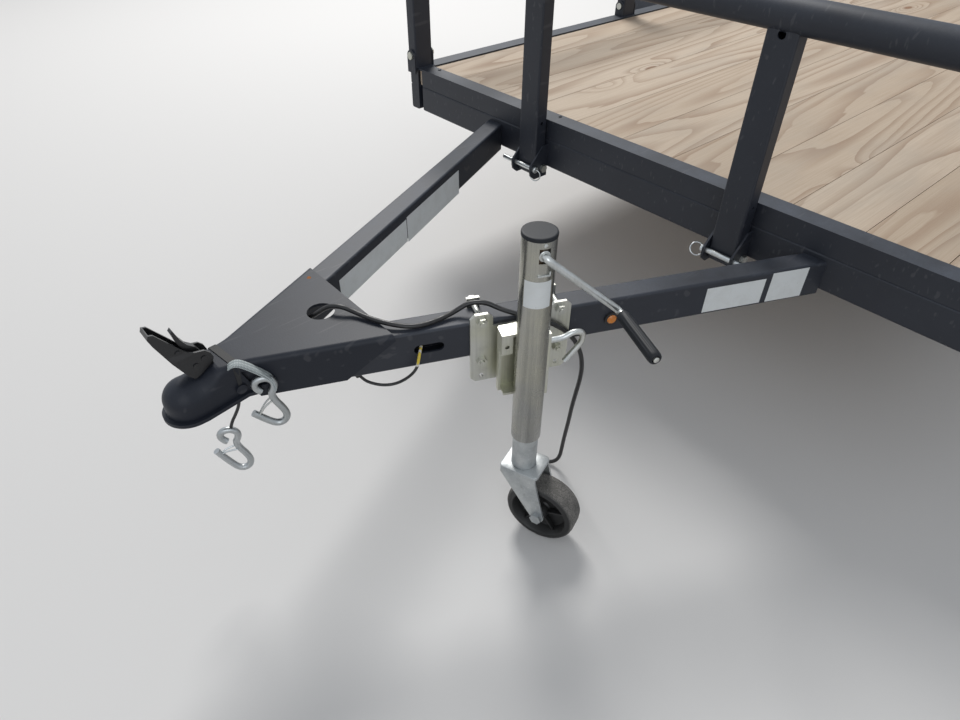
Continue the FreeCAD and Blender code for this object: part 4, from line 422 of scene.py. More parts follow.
def rust_group():
    """Small rust spots where the paint is chipped."""
    group, tree, given, out = new_group(
        "rust_spots",
        [("Vector", "vector", None), ("Scale", "number", 30.0), ("Share", "number", 0.1)],
        [("Mask", "number")])
    own, reach = tree.cells(given["Vector"], given["Scale"])
    size = tree.times(own[0], 0.22)
    chosen = tree.math("LESS_THAN", own[1], given["Share"])
    ragged = tree.times_plus(tree.noise(given["Vector"], 260.0, 3), 0.14, -0.07)
    spot = tree.math("LESS_THAN", tree.math("ADD", reach, ragged), size)
    tree.link(tree.times(spot, chosen), out["Mask"])
    return group


def build_groups():
    return {"dust_and_sheen": dust_and_sheen_group(), "scratch": scratch_group(), "rust": rust_group()}


# Materials

def black_paint(groups, name="black_powder_coat", dust_and_sheen=0.30, rust=0.0, colour=(0.011, 0.0135, 0.021),
                rough=0.50, gloss=0.5):
    """Powder coat with dust and a painted blue sky sheen on top, a few scratches, and rust where it is
    chipped.
    """
    material, tree, shader = principled(name, colour, rough, gloss=gloss)
    here = tree.coordinates()
    paint = tree.mix_colour(tree.noise(here, 3.0, 4), *shades(colour, 0.8, 1.3))
    # The pale blue on faces that look up is dust together with a painted sheen of sky reflection
    dust_and_sheen_out = tree.group(groups["dust_and_sheen"], Colour=paint, Roughness=rough, Dust=(0.16, 0.19, 0.25),
                        Amount=dust_and_sheen, Vector=here, Up=tree.facing())
    scuffed = tree.group(groups["scratch"], Vector=here, Scale=7.0)["Mask"]
    shade = tree.mix_colour(tree.times(scuffed, 0.25), dust_and_sheen_out["Colour"], (0.10, 0.10, 0.11))
    spots = tree.group(groups["rust"], Vector=here, Scale=26.0, Share=rust)["Mask"]
    shade = tree.mix_colour(spots, shade, (0.30, 0.11, 0.03))
    peel = tree.noise(here, 420.0, 2, 0.4)
    tree.finish(shader, shade, tree.times_plus(spots, 0.4, dust_and_sheen_out["Roughness"]),
                tree.bump(peel, 0.18, 0.0006))
    return material


def zinc_plate(name, colour, rough, tint, grime):
    """Bright zinc with a cast of another tint in soft patches, drawn upright in fine streaks."""
    material, tree, shader = principled(name, colour, rough, metal=1.0)
    here = tree.coordinates()
    patches = tree.ramp(tree.noise(here, 9.0), 0.42, 0.68)
    shade = tree.mix_colour(patches, colour, tint)
    drawn = tree.noise(tree.mapping(here, (1, 1, 0.03)), 260.0, 3)
    shade = tree.mix_colour(tree.ramp(drawn, 0.35, 0.75, 0.0, 0.35), shade, shades(colour, 0.55)[0])
    smudge = tree.ramp(tree.noise(here, 30.0, 4, 0.6), 0.55, 0.8)
    shade = tree.mix_colour(tree.times(smudge, grime), shade, (0.30, 0.29, 0.26))
    dull = tree.times_plus(smudge, 0.12, rough)
    dull = tree.times_plus(drawn, 0.12, tree.math("SUBTRACT", dull, 0.06))
    tree.finish(shader, shade, dull, tree.bump(tree.noise(here, 60.0), 0.06, 0.0008))
    return material


def board_wood(pitch, first):
    """Rough-sawn pine: contour grain, knots, fibres and saw marks, each board with its own figure."""
    material, tree, shader = principled("sawn_pine", rough=0.78)
    here = tree.coordinates()
    x, y, z = tree.split(here)

    # Three random numbers for each board, which shift its figure and set its tone
    index = tree.math("FLOOR", tree.math("DIVIDE", tree.math("SUBTRACT", y, first), pitch))
    own = tree.split(tree.node("ShaderNodeTexWhiteNoise", {"W": index}, "Color", noise_dimensions="1D"))
    along = tree.times_plus(own[0], 37.0, x)
    across = tree.times_plus(own[1], 11.0, y)

    # Growth rings as contours of a slow swell that the knots pull up
    figure = tree.join(tree.times(along, 0.42), tree.times(across, 4.6), z)
    swell = tree.noise(figure, 1.0, 1.5, 0.35)
    spots, reach = tree.cells(tree.join(tree.times(along, 2.0), tree.times(across, 5.2), 0.0), 1.0)
    chosen = tree.math("LESS_THAN", spots[0], 0.42)
    near_knot = tree.times(tree.ramp(reach, 0.0, 0.42, 1.0, 0.0), chosen)
    pull = tree.times(tree.math("POWER", near_knot, 2.5), 0.30)
    field = tree.times(tree.math("ADD", swell, pull), 17.0)
    saw = tree.math("FRACT", tree.times_plus(tree.noise(figure, 9.0), 0.35, field))
    late = tree.math("SUBTRACT", tree.ramp(saw, 0.45, 0.97), tree.ramp(saw, 0.97, 1.0))
    pale = tree.mix_colour(own[2], (0.475, 0.385, 0.295), (0.56, 0.47, 0.375))
    dark = tree.mix_colour(own[1], (0.25, 0.16, 0.105), (0.31, 0.21, 0.145))
    depth = tree.times(late, tree.ramp(tree.noise(figure, 3.0), 0.25, 0.75, 0.35, 0.95))
    tone = tree.mix_colour(depth, pale, dark)

    # Fibres along the board, then grey weathering in patches
    fine = tree.join(tree.times(along, 5.0), tree.times(across, 300.0), tree.times(z, 300.0))
    fibre = tree.noise(fine, 1.0, 3, 0.6)
    tone = tree.mix_colour(tree.ramp(fibre, 0.35, 0.75, 0.0, 0.45), tone, (0.36, 0.26, 0.175))
    patch = tree.join(tree.times(along, 1.6), tree.times(across, 5.0), z)
    blotch = tree.ramp(tree.noise(patch, 1.5, 4, 0.6), 0.45, 0.8)
    tone = tree.mix_colour(tree.times(blotch, 0.45), tone, (0.36, 0.325, 0.28))

    # Knots with a dark rim and a redder core
    rim = tree.times(tree.ramp(reach, 0.075, 0.055), chosen)
    core = tree.times(tree.ramp(reach, 0.045, 0.02), chosen)
    tone = tree.mix_colour(tree.times(rim, 0.85), tone, (0.20, 0.10, 0.05))
    tone = tree.mix_colour(tree.times(core, 0.6), tone, (0.30, 0.16, 0.08))

    # Saw marks across the board
    marks = tree.times_plus(x, 1050.0, tree.times(tree.noise(here, 22.0), 26.0))
    marks = tree.ramp(tree.math("SINE", marks), 0.3, 1.0)
    marks = tree.times(marks, tree.ramp(tree.noise(here, 7.0, 3), 0.5, 0.7))
    tone = tree.mix_colour(tree.times(marks, 0.16), tone, (0.25, 0.18, 0.12))

    relief = tree.times_plus(fibre, 0.5, tree.times(late, 0.35))
    relief = tree.times_plus(marks, -0.35, relief)
    tree.finish(shader, tone, normal=tree.bump(relief, 0.45, 0.0012))
    return material


def dusty_black(groups, name, colour, rough, scale=300.0, strength=0.25, dust_and_sheen=0.35, gloss=0.5):
    """Black rubber, plastic or webbing with a fine grain and brown dust."""
    material, tree, shader = principled(name, colour, rough, gloss=gloss)
    here = tree.coordinates()
    cloud = tree.mix_colour(tree.noise(here, 12.0, 4), *shades(colour, 0.75, 1.35))
    dust_and_sheen_out = tree.group(groups["dust_and_sheen"], Colour=cloud, Roughness=rough, Dust=(0.22, 0.20, 0.17),
                        Amount=dust_and_sheen, Vector=here, Up=tree.facing())
    tree.finish(shader, dust_and_sheen_out["Colour"], dust_and_sheen_out["Roughness"],
                tree.bump(tree.noise(here, scale, 3), strength, 0.0005))
    return material


def lens(name, colour):
    """A coloured lamp lens."""
    material, tree, shader = principled(name, colour, 0.12, coat=0.6)
    shader.inputs["Transmission Weight"].default_value = 0.25
    here = tree.coordinates()
    glow = tree.mix_colour(tree.noise(here, 60.0), *shades(colour, 0.7, 1.0))
    tree.finish(shader, glow, normal=tree.bump(tree.noise(here, 500.0, 1), 0.3, 0.0004))
    return material


def wheel_paint(groups):
    """Silver paint with a fine flake and road dust."""
    material, tree, shader = principled("silver_wheel_paint", (0.52, 0.53, 0.54), 0.38, metal=0.75)
    here = tree.coordinates()
    tone = tree.mix_colour(tree.noise(here, 1400.0, 1), (0.44, 0.45, 0.46), (0.60, 0.61, 0.62))
    dust_and_sheen_out = tree.group(groups["dust_and_sheen"], Colour=tone, Roughness=0.38, Dust=(0.32, 0.29, 0.25),
                        Amount=0.5, Vector=here, Up=tree.facing())
    tree.finish(shader, dust_and_sheen_out["Colour"], dust_and_sheen_out["Roughness"])
    return material


def webbing():
    """Grey woven webbing, its rows and ribs taken from the band's own UV in metres."""
    material, tree, shader = principled("grey_webbing", (0.50, 0.55, 0.56), 0.75)
    flat = tree.split(tree.node("ShaderNodeUVMap", {}))
    rows = tree.math("SINE", tree.times(flat[0], 900.0))
    ribs = tree.math("SINE", tree.times(flat[1], 2600.0))
    weave = tree.times(tree.ramp(rows, -1.0, 1.0), tree.ramp(ribs, -1.0, 1.0))
    tone = tree.mix_colour(weave, (0.26, 0.30, 0.31), (0.62, 0.67, 0.68))
    tree.finish(shader, tone, normal=tree.bump(weave, 0.8, 0.0006))
    return material


def galvanised():
    """Dull hot-dipped zinc with pale specks and soft patches."""
    material, tree, shader = principled("galvanised", rough=0.5, metal=0.85)
    here = tree.coordinates()
    patch = tree.ramp(tree.noise(here, 24.0, 4, 0.6), 0.35, 0.7)
    shade = tree.mix_colour(patch, (0.38, 0.40, 0.41), (0.54, 0.56, 0.56))
    speck = tree.ramp(tree.noise(here, 380.0, 3, 0.6), 0.58, 0.72, 0.0, 0.6)
    shade = tree.mix_colour(speck, shade, (0.68, 0.69, 0.68))
    stain = tree.ramp(tree.noise(here, 60.0, 5, 0.7), 0.58, 0.72, 0.0, 0.5)
    shade = tree.mix_colour(stain, shade, (0.25, 0.24, 0.22))
    tree.finish(shader, shade, tree.ramp(patch, 0.0, 1.0, 0.55, 0.42),
                tree.bump(tree.noise(here, 130.0, 4), 0.35, 0.0009))
    return material


def wire_sheath():
    """A black jacket, and above it the twisted yellow and white wires that enter the slot, with painted shade
    in the grooves between them.
    """
    material, tree, shader = principled("wire_sheath", rough=0.38)
    x, y, z = tree.split(tree.coordinates())
    bare = tree.ramp(z, JACKET_TOP - JACKET_EDGE, JACKET_TOP + JACKET_EDGE)
    lay = tree.math("SINE", tree.math("ADD", tree.times(z, 520.0), tree.times(tree.math("ADD", x, y), 640.0)))
    wires = tree.mix_colour(tree.ramp(lay, -0.25, 0.25), (0.66, 0.50, 0.05), (0.70, 0.68, 0.62))
    # Darker brown where the wires meet: painted shade in the grooves between the twisted wires
    seam = tree.ramp(tree.math("ABSOLUTE", lay), 0.0, 0.35, 0.55, 1.0)
    wires = tree.mix_colour(seam, (0.10, 0.08, 0.05), wires)
    tree.finish(shader, tree.mix_colour(bare, (0.012, 0.012, 0.013), wires),
                normal=tree.bump(tree.times(seam, bare), 0.7, 0.0008))
    return material


def caster_rubber():
    """Black moulded rubber, ground grey and gritty on the tread."""
    material, tree, shader = principled("caster_rubber", rough=0.7)
    here = tree.coordinates()
    off = tree.vector_math("SUBTRACT", here, middle_of("caster_wheel"))
    axle = (-math.sin(CASTER_HEADING), math.cos(CASTER_HEADING), 0.0)
    across = tree.vector_math("CROSS_PRODUCT", off, axle)
    tread = tree.ramp(tree.vector_math("LENGTH", across, result="Value"), TREAD_R0, TREAD_R1)
    grit = tree.ramp(tree.noise(here, 520.0, 4, 0.7), 0.40, 0.64, 0.25, 1.0)
    cloud = tree.ramp(tree.noise(here, 35.0, 3), 0.3, 0.7, 0.55, 1.0)
    ground = tree.times(tree.times(tread, grit), cloud)
    tree.finish(shader, tree.mix_colour(ground, (0.012, 0.012, 0.012), (0.30, 0.29, 0.275)),
                tree.ramp(tread, 0.0, 1.0, 0.5, 0.9), tree.bump(tree.noise(here, 420.0, 4), 0.5, 0.0006))
    return material


def blank_label():
    """Plain film with faint grime and no print."""
    material, tree, shader = principled("blank_label", rough=0.45, coat=0.2)
    here = tree.coordinates()
    grime = tree.ramp(tree.noise(here, 26.0, 5, 0.65), 0.45, 0.8, 0.0, 0.35)
    speck = tree.ramp(tree.noise(here, 300.0), 0.66, 0.75, 0.0, 0.4)
    shade = tree.mix_colour(tree.math("MAXIMUM", grime, speck), (0.66, 0.69, 0.70), (0.42, 0.42, 0.39))
    tree.finish(shader, shade, normal=tree.bump(tree.noise(here, 90.0), 0.1, 0.0004))
    return material


def cable_sheath():
    """A black cord's smooth jacket, dulled where it is scuffed."""
    colour, rough = (0.012, 0.012, 0.013), 0.33
    material, tree, shader = principled("black_sheath", colour, rough)
    scuff = tree.ramp(tree.noise(tree.coordinates(), 90.0, 4, 0.6), 0.5, 0.75, 0.0, 0.35)
    tree.finish(shader, tree.mix_colour(scuff, colour, (0.09, 0.085, 0.08)), tree.math("ADD", scuff, rough))
    return material


def build_materials(groups):
    low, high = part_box("deck_boards")
    pitch = (high.y - low.y + BOARD_GAP) / BOARD_COUNT
    return {
        "paint": black_paint(groups),
        "coupler_paint": black_paint(groups, "coupler_powder_coat", 0.10, 0.16, rough=0.46, gloss=0.30),
        "lever_paint": black_paint(groups, "lever_paint", 0.1, colour=(0.012, 0.012, 0.013), rough=0.30),
        "zinc": zinc_plate("zinc_plate", (0.60, 0.60, 0.56), 0.42, (0.57, 0.57, 0.46), 0.25),
        "zinc_bright": zinc_plate("zinc_bright", (0.64, 0.67, 0.68), 0.32, (0.62, 0.62, 0.58), 0.12),
        "zinc_tube": zinc_plate("zinc_tube", (0.36, 0.36, 0.345), 0.27, (0.45, 0.44, 0.37), 0.2),
        "zinc_dull": zinc_plate("zinc_dull", (0.50, 0.52, 0.53), 0.38, (0.44, 0.46, 0.46), 0.3),
        "oily_steel": zinc_plate("oily_steel", (0.05, 0.042, 0.035), 0.4, (0.09, 0.06, 0.04), 0.5),
        "galvanised": galvanised(),
        "wood": board_wood(pitch, low.y - BOARD_GAP / 2),
        "rubber": dusty_black(groups, "black_rubber", (0.018, 0.018, 0.018), 0.7, dust_and_sheen=0.15),
        "tyre": dusty_black(groups, "tyre_rubber", (0.022, 0.022, 0.022), 0.78, dust_and_sheen=0.6),
        "plastic": dusty_black(groups, "black_plastic", (0.010, 0.012, 0.016), 0.50, 500.0, 0.12, 0.03,
                               gloss=0.28),
        "black_webbing": dusty_black(groups, "black_webbing", (0.014, 0.014, 0.015), 0.6, 900.0, 0.5, 0.1),
        "caster_rubber": caster_rubber(),
        "loop_sheath": wire_sheath(),
        "sheath": cable_sheath(),
        "amber": lens("amber_lens", (0.90, 0.28, 0.01)),
        "red": lens("red_lens", (0.42, 0.012, 0.010)),
        "wheel": wheel_paint(groups),
        "webbing": webbing(),
        "blank_label": blank_label(),
    }


# Which of the frame's nodes take which finish; the rest are in the plain black paint
NODE_FINISH = {
    "wood": ["deck_boards"],
    "amber": ["marker_lamps"],
    "red": ["tail_lamps"],
    "rubber": ["marker_grommets", "harness_plug", "wiring_glands"],
    "tyre": ["tyre_left", "tyre_right"],
    "wheel": ["rim_left", "rim_right", "hub_left", "hub_right"],
    "zinc": ["jack_base", "jack_swivel", "front_rail_bolts", "side_rail_bolts", "spring_bolts"],
    "zinc_tube": ["jack_tube"],
    "zinc_bright": ["jack_crank", "pull_pin", "front_rail_pins"],
    "zinc_dull": ["safety_hooks"],
    "plastic": ["jack_cap", "jack_grip"],
    "galvanised": ["jack_leg", "caster_fork"],
    "caster_rubber": ["caster_wheel"],
    "coupler_paint": ["coupler"],
    "lever_paint": ["coupler_latch"],
    "sheath": ["harness_cord", "wire_loop", "safety_cable"],
    "webbing": ["safety_strap"],
}


def finish_nodes(materials):
    finish_of = {node: finish for finish, nodes in NODE_FINISH.items() for node in nodes}
    for name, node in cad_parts.items():
        material = materials[finish_of.get(name, "paint")]
        if not node.material_slots:
            node.data.materials.append(material)
        for slot in node.material_slots:
            slot.material = material


# Camera, floor and light

def make_camera():
    yaw, pitch, roll = (math.radians(a) for a in (CAMERA_YAW, CAMERA_PITCH, CAMERA_ROLL))
    forward = Vector((math.cos(pitch) * math.cos(yaw), math.cos(pitch) * math.sin(yaw), -math.sin(pitch)))
    right = forward.cross(UP).normalized()
    down = forward.cross(right)
    right_rolled = right * math.cos(roll) + down * math.sin(roll)
    down_rolled = down * math.cos(roll) - right * math.sin(roll)
    data = bpy.data.cameras.new("photo_camera")
    data.sensor_width = SENSOR
    data.lens = SENSOR * FOCAL_PIXELS / PHOTO_WIDTH
    data.clip_start, data.clip_end = 0.05, 60.0
    camera = placed("photo_camera", data)
    turn = Matrix((right_rolled, -down_rolled, -forward)).transposed()
    camera.matrix_world = Matrix.Translation(CAMERA_AT) @ turn.to_4x4()
    bpy.context.scene.camera = camera


def make_world():
    """A pale world that lights the object, with its own colour where the camera or the gloss sees it."""
    world = bpy.data.worlds.new("studio")
    bpy.context.scene.world = world
    world.use_nodes = True
    world.node_tree.nodes.clear()
    tree = Tree(world.node_tree)
    path = tree.add("ShaderNodeLightPath").outputs
    seen = tree.math("MAXIMUM", path["Is Camera Ray"], path["Is Glossy Ray"])
    seen = tree.math("MAXIMUM", seen, path["Is Transmission Ray"])
    lit = tree.node("ShaderNodeBackground", {"Color": WORLD_TINT, "Strength": WORLD_LIGHT})
    shown = tree.node("ShaderNodeBackground", {"Color": SHOWN_TINT, "Strength": SHOWN_LIGHT})
    mix = tree.node("ShaderNodeMixShader", {0: seen, 1: lit, 2: shown})
    out = tree.add("ShaderNodeOutputWorld")
    tree.link(mix, out.inputs[0])


def make_stage():
    """A plain pale floor, a pale world and soft lamps."""
    make_world()
    bpy.context.scene.view_settings.view_transform = "Standard"
    mesh = bpy.data.meshes.new("floor")
    corners = [(-1, -1), (1, -1), (1, 1), (-1, 1)]
    mesh.from_pydata([(x * FLOOR_REACH, y * FLOOR_REACH, 0) for x, y in corners], [], [(0, 1, 2, 3)])
    floor = placed("floor", mesh)
    mesh.materials.append(principled("floor_pale", FLOOR_GREY, 1.0, gloss=0.0)[0])
    for name, (at, size, power, colour) in LAMPS.items():
        data = bpy.data.lights.new(name, "AREA")
        data.shape = "DISK"
        data.size = size
        data.energy = power
        data.color = colour
        light = placed(name, data)
        light.location = at
        direction = Vector(LAMPS_TOWARDS) - Vector(at)
        light.rotation_euler = direction.to_track_quat("-Z", "Y").to_euler()


# Making meshes

def finished(name, mesh, body="root", stands_for=()):
    """Puts a mesh in the scene as a piece that rides on a body."""
    piece = placed(name, mesh)
    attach(piece, body)
    if stands_for:
        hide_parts(*stands_for)
    return piece


def evaluated(piece):
    """The mesh that a temporary object comes to, with the object removed."""
    bpy.context.view_layer.update()
    graph = bpy.context.evaluated_depsgraph_get()
    mesh = bpy.data.meshes.new_from_object(piece.evaluated_get(graph), depsgraph=graph)
    bpy.data.objects.remove(piece)
    return mesh


def mesh_of(bm, name, material=None):
    mesh = bpy.data.meshes.new(name)
    bm.to_mesh(mesh)
    bm.free()
    if material is not None:
        mesh.materials.append(material)
    return mesh


def smooth_mesh(bm, name, material, crease=35.0):
    """A mesh with its faces outward, smooth up to the crease angle in degrees."""
    bmesh.ops.remove_doubles(bm, verts=bm.verts, dist=1e-6)
    bmesh.ops.recalc_face_normals(bm, faces=bm.faces)
    mesh = mesh_of(bm, name, material)
    mesh.shade_smooth()
    mesh.set_sharp_from_angle(angle=math.radians(crease))
    return mesh


def joined(name, meshes):
    """One mesh of several, keeping each face's own material."""
    bm = bmesh.new()
    materials = []
    for mesh in meshes:
        start = len(bm.faces)
        bm.from_mesh(mesh)
        bm.faces.ensure_lookup_table()
        materials = list(dict.fromkeys([*materials, *mesh.materials]))
        places = [materials.index(m) for m in mesh.materials]
        for face in bm.faces[start:]:
            face.material_index = places[face.material_index]
    whole = mesh_of(bm, name)
    for material in materials:
        whole.materials.append(material)
    return whole


def skin(bm, rows, ring=False):
    """Faces between neighbouring rows of vertices; in a ring each row's last vertex meets its first."""
    for low, high in zip(rows, rows[1:]):
        count = len(low)
        for i in range(count if ring else count - 1):
            k = (i + 1) % count
            bm.faces.new([low[i], low[k], high[k], high[i]])


def thickened(mesh, thickness):
    """A sheet with its thickness added, half to each side."""
    piece = placed("sheet", mesh)
    solid = piece.modifiers.new("thickness", "SOLIDIFY")
    solid.thickness = thickness * MM
    solid.offset = 0.0
    return evaluated(piece)


def nurbs_curve(name, points, steps, closed=False):
    """Curve data that bends smoothly near its points."""
    curve = bpy.data.curves.new(name, "CURVE")
    curve.dimensions = "3D"
    spline = curve.splines.new("NURBS")
    spline.points.add(len(points) - 1)
    for point, place in zip(spline.points, points):
        point.co = (*place, 1)
    spline.order_u = 3
    spline.use_cyclic_u = closed
    spline.use_endpoint_u = not closed
    curve.resolution_u = steps
    return curve


def thicken_curve(curve, radius, sides, material, capped=True):
    """A round section for a curve, its radius in millimetres."""
    curve.bevel_depth = radius * MM
    curve.bevel_resolution = sides
    curve.use_fill_caps = capped
    curve.materials.append(material)


def bar(points, radius, material, closed=False, sides=6, steps=10):
    """A round bar as a mesh."""
    curve = nurbs_curve("bar", points, steps, closed)
    thicken_curve(curve, radius, sides, material, not closed)
    mesh = evaluated(placed("bar", curve))
    mesh.shade_smooth()
    return mesh


def lathe(profile, centre, axis, steps, material, crease=35.0):
    """A profile of (along the axis, radius) in millimetres, turned about an axis through centre."""
    axis = Vector(axis).normalized()
    side = axis.orthogonal().normalized()
    other = axis.cross(side)
    turns = [2 * math.pi * i / steps for i in range(steps)]
    bm = bmesh.new()
    rings = []
    for along, radius in profile:
        middle = Vector(centre) + axis * along * MM
        if radius < 1e-6:
            rings.append([bm.verts.new(middle)])
            continue
        arms = [(side * math.cos(a) + other * math.sin(a)) * radius * MM for a in turns]
        rings.append([bm.verts.new(middle + arm) for arm in arms])
    for low, high in zip(rings, rings[1:]):
        for i in range(steps):
            k = i + 1
            corners = [low[i % len(low)], low[k % len(low)], high[k % len(high)], high[i % len(high)]]
            corners = list(dict.fromkeys(corners))
            if len(corners) > 2:
                bm.faces.new(corners)
    return smooth_mesh(bm, "turned", material, crease)


def block(low, high, edge, material, place_of=None, segments=2):
    """A box with rounded edges, in millimetres, its corners placed by a function of three lengths."""
    bm = bmesh.new()
    bmesh.ops.create_cube(bm, size=1.0)
    for vert in bm.verts:
        vert.co = Vector([l + (h - l) * (c + 0.5) for l, h, c in zip(low, high, vert.co)])
    bmesh.ops.bevel(bm, geom=list(bm.edges), offset=edge, segments=segments, affect="EDGES", profile=0.5)
    for vert in bm.verts:
        vert.co = place_of(*vert.co) if place_of else vert.co * MM
    return smooth_mesh(bm, "block", material)


# What repeats

def repeat_tree():
    """Copies a mesh Count times, each copy a Step and a Turn further on, with a little seeded Wobble."""
    tree = bpy.data.node_groups.new("repeat_in_steps", "GeometryNodeTree")
    kinds = {"Geometry": "Geometry", "Count": "Int", "Step": "Vector", "Turn": "Vector", "Wobble": "Float",
             "Material": "Material"}
    for label, kind in kinds.items():
        tree.interface.new_socket(label, in_out="INPUT", socket_type="NodeSocket" + kind)
    tree.interface.new_socket("Geometry", in_out="OUTPUT", socket_type="NodeSocketGeometry")
    nodes, links = tree.nodes, tree.links
    given, out = nodes.new("NodeGroupInput").outputs, nodes.new("NodeGroupOutput").inputs

    def scaled(vector, factor):
        node = nodes.new("ShaderNodeVectorMath")
        node.operation = "SCALE"
        links.new(vector, node.inputs[0])
        links.new(factor, node.inputs["Scale"])
        return node.outputs[0]

    index = nodes.new("GeometryNodeInputIndex").outputs[0]
    points = nodes.new("GeometryNodePoints")
    links.new(given["Count"], points.inputs["Count"])
    links.new(scaled(given["Step"], index), points.inputs["Position"])
    shake = nodes.new("FunctionNodeRandomValue")
    shake.data_type = "FLOAT_VECTOR"
    shake.inputs["Min"].default_value = (-1, -1, -1)
    shake.inputs["Max"].default_value = (1, 1, 1)
    shake.inputs["Seed"].default_value = REPEAT_SEED
    both = nodes.new("ShaderNodeVectorMath")
    links.new(scaled(given["Turn"], index), both.inputs[0])
    links.new(scaled(shake.outputs[0], given["Wobble"]), both.inputs[1])
    rotate = nodes.new("FunctionNodeEulerToRotation")
    links.new(both.outputs[0], rotate.inputs[0])
    copies = nodes.new("GeometryNodeInstanceOnPoints")
    links.new(points.outputs[0], copies.inputs["Points"])
    links.new(given["Geometry"], copies.inputs["Instance"])
    links.new(rotate.outputs[0], copies.inputs["Rotation"])
    real = nodes.new("GeometryNodeRealizeInstances")
    links.new(copies.outputs[0], real.inputs[0])
    painted = nodes.new("GeometryNodeSetMaterial")
    links.new(real.outputs[0], painted.inputs["Geometry"])
    links.new(given["Material"], painted.inputs["Material"])
    links.new(painted.outputs[0], out[0])
    return tree


def repeated(tree, mesh, count, material, step=(0, 0, 0), turn=(0, 0, 0), wobble=0.0):
    """A mesh made about the origin, copied in steps."""
    piece = placed("one", mesh)
    modifier = piece.modifiers.new("repeat", "NODES")
    modifier.node_group = tree
    sockets = {s.name: s.identifier for s in tree.interface.items_tree if s.in_out == "INPUT"}
    values = {"Count": count, "Step": step, "Turn": turn, "Wobble": wobble, "Material": material}
    for name, value in values.items():
        modifier[sockets[name]] = value
    return evaluated(piece)


def round_axle(tree, mesh, count, material):
    """A mesh copied evenly round the y axis."""
    return repeated(tree, mesh, count, material, turn=(0.0, 2 * math.pi / count, 0.0))


# The wheels

def make_tyres(materials, tree):
    """A trailer tyre: ribs round the middle and a row of lugs on each shoulder."""
    rubber = materials["tyre"]
    for side in ("left", "right"):
        middle = middle_of("tyre_" + side)
        parts = [lathe(TYRE_PROFILE, middle, (0, 1, 0), 120, rubber, 28.0)]
        for way in (-1, 1):
            lug = block(LUG_LOW, LUG_HIGH, LUG_EDGE, rubber)
            for vert in lug.vertices:
                vert.co.z -= max(0.0, vert.co.y - LUG_FALL_FROM * MM) * LUG_FALL
                vert.co.x += (vert.co.y - LUG_MIDDLE * MM) * LUG_SKEW * way
                vert.co.y *= way
            if way < 0:
                lug.flip_normals()
            lugs = round_axle(tree, lug, LUG_COUNT, rubber)
            lugs.transform(Matrix.Translation(middle))
            parts.append(lugs)
        name = "tread_tyre_" + side
        finished(name, joined(name, parts), "wheel_" + side, ("tyre_" + side,))


# The jack

def make_jack(materials):
    """The cap, the gearbox behind the crank's window, the tube's trim, the crank and its fluted grip."""
    zinc = materials["zinc_bright"]
    out = (beam(0, 1, 0) - beam(0, 0, 0)).normalized()
    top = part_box("jack_tube")[1].z / MM
    cap = lathe(CAP_RING, on_jack(0, 0, top), UP, 64, materials["plastic"])
    finished("jack_cap_rounded", cap, "jack", ("jack_cap",))
    gearbox = lathe(GEARBOX_PROFILE, on_jack(0, 0, GEARBOX_Z), UP, 48, materials["oily_steel"])
    collar = lathe(COLLAR_PROFILE, on_jack(0, COLLAR_OUT, CRANK_Z), out, 32, zinc)
    finished("jack_gearbox", joined("jack_gearbox", [gearbox, collar]), "jack")
    trim = [block(*WINDOW_EDGE, zinc, on_jack), block(*WINDOW_LIP, zinc, on_jack),
            lathe(SCREW_HEAD, on_jack(0, SCREW_OUT, SCREW_Z), out, 20, zinc)]
    finished("jack_tube_trim", joined("jack_tube_trim", trim), "jack")
    crank = bar([beam(*p) for p in CRANK_POINTS], CRANK_R, zinc, steps=12)
    rivet = lathe(RIVET_PROFILE, beam(GRIP_S, GRIP_N1 - RIVET_SUNK, GRIP_Z), out, 24, zinc)
    finished("jack_crank_bent", joined("jack_crank_bent", [crank, rivet]), "jack", ("jack_crank",))
    start = beam(GRIP_S, GRIP_N0, GRIP_Z)
    grip = lathe(GRIP_PROFILE, start, out, FLUTES * 6, materials["plastic"], 50.0)
    side = out.orthogonal().normalized()
    other = out.cross(side)
    for vert in grip.vertices:
        along = (vert.co - start).dot(out)
        if FLUTE_FROM * MM < along < FLUTE_TO * MM:
            arm = vert.co - start - out * along
            turn = math.atan2(arm.dot(other), arm.dot(side))
            vert.co -= arm * FLUTE_DEPTH * max(0.0, math.cos(turn * FLUTES)) ** 2
    finished("jack_grip_fluted", grip, "jack", ("jack_grip",))


# The caster

def make_caster(materials, tree):
    """A moulded wheel with a dish, ribs and a hub on each side."""
    rubber = materials["caster_rubber"]
    middle = middle_of("caster_wheel")
    axle = Vector((-math.sin(CASTER_HEADING), math.cos(CASTER_HEADING), 0))
    parts = [lathe(CASTER_PROFILE, middle, axle, 96, rubber, 32.0)]
    swing = Matrix.Translation(middle) @ Matrix.Rotation(CASTER_HEADING, 4, "Z")
    low, out, high = RIB_REACH
    for way in (-1, 1):
        near, far = sorted((way * RIB_WEB, way * out))
        rib = block((-RIB_HALF, near, low), (RIB_HALF, far, high), 1.0, rubber)
        ribs = round_axle(tree, rib, CASTER_RIBS, rubber)
        ribs.transform(swing)
        parts.append(ribs)
    name = "caster_wheel_moulded"
    finished(name, joined(name, parts), "caster", ("caster_wheel",))


def flange_reach(turn):
    """How far the flange's edge lies from the leg's axis in one direction."""
    x, y = abs(math.cos(turn)), abs(math.sin(turn))
    long = FLANGE_BEHIND if math.cos(turn) > 0 else FLANGE_AHEAD
    reach = min(long / max(x, 1e-9), FLANGE_HALF / max(y, 1e-9))
    corner_x, corner_y = long - FLANGE_CORNER, FLANGE_HALF - FLANGE_CORNER
    if reach * x > corner_x and reach * y > corner_y:
        along = x * corner_x + y * corner_y
        past = along ** 2 - corner_x ** 2 - corner_y ** 2 + FLANGE_CORNER ** 2
        reach = along + math.sqrt(max(0.0, past))
    return reach


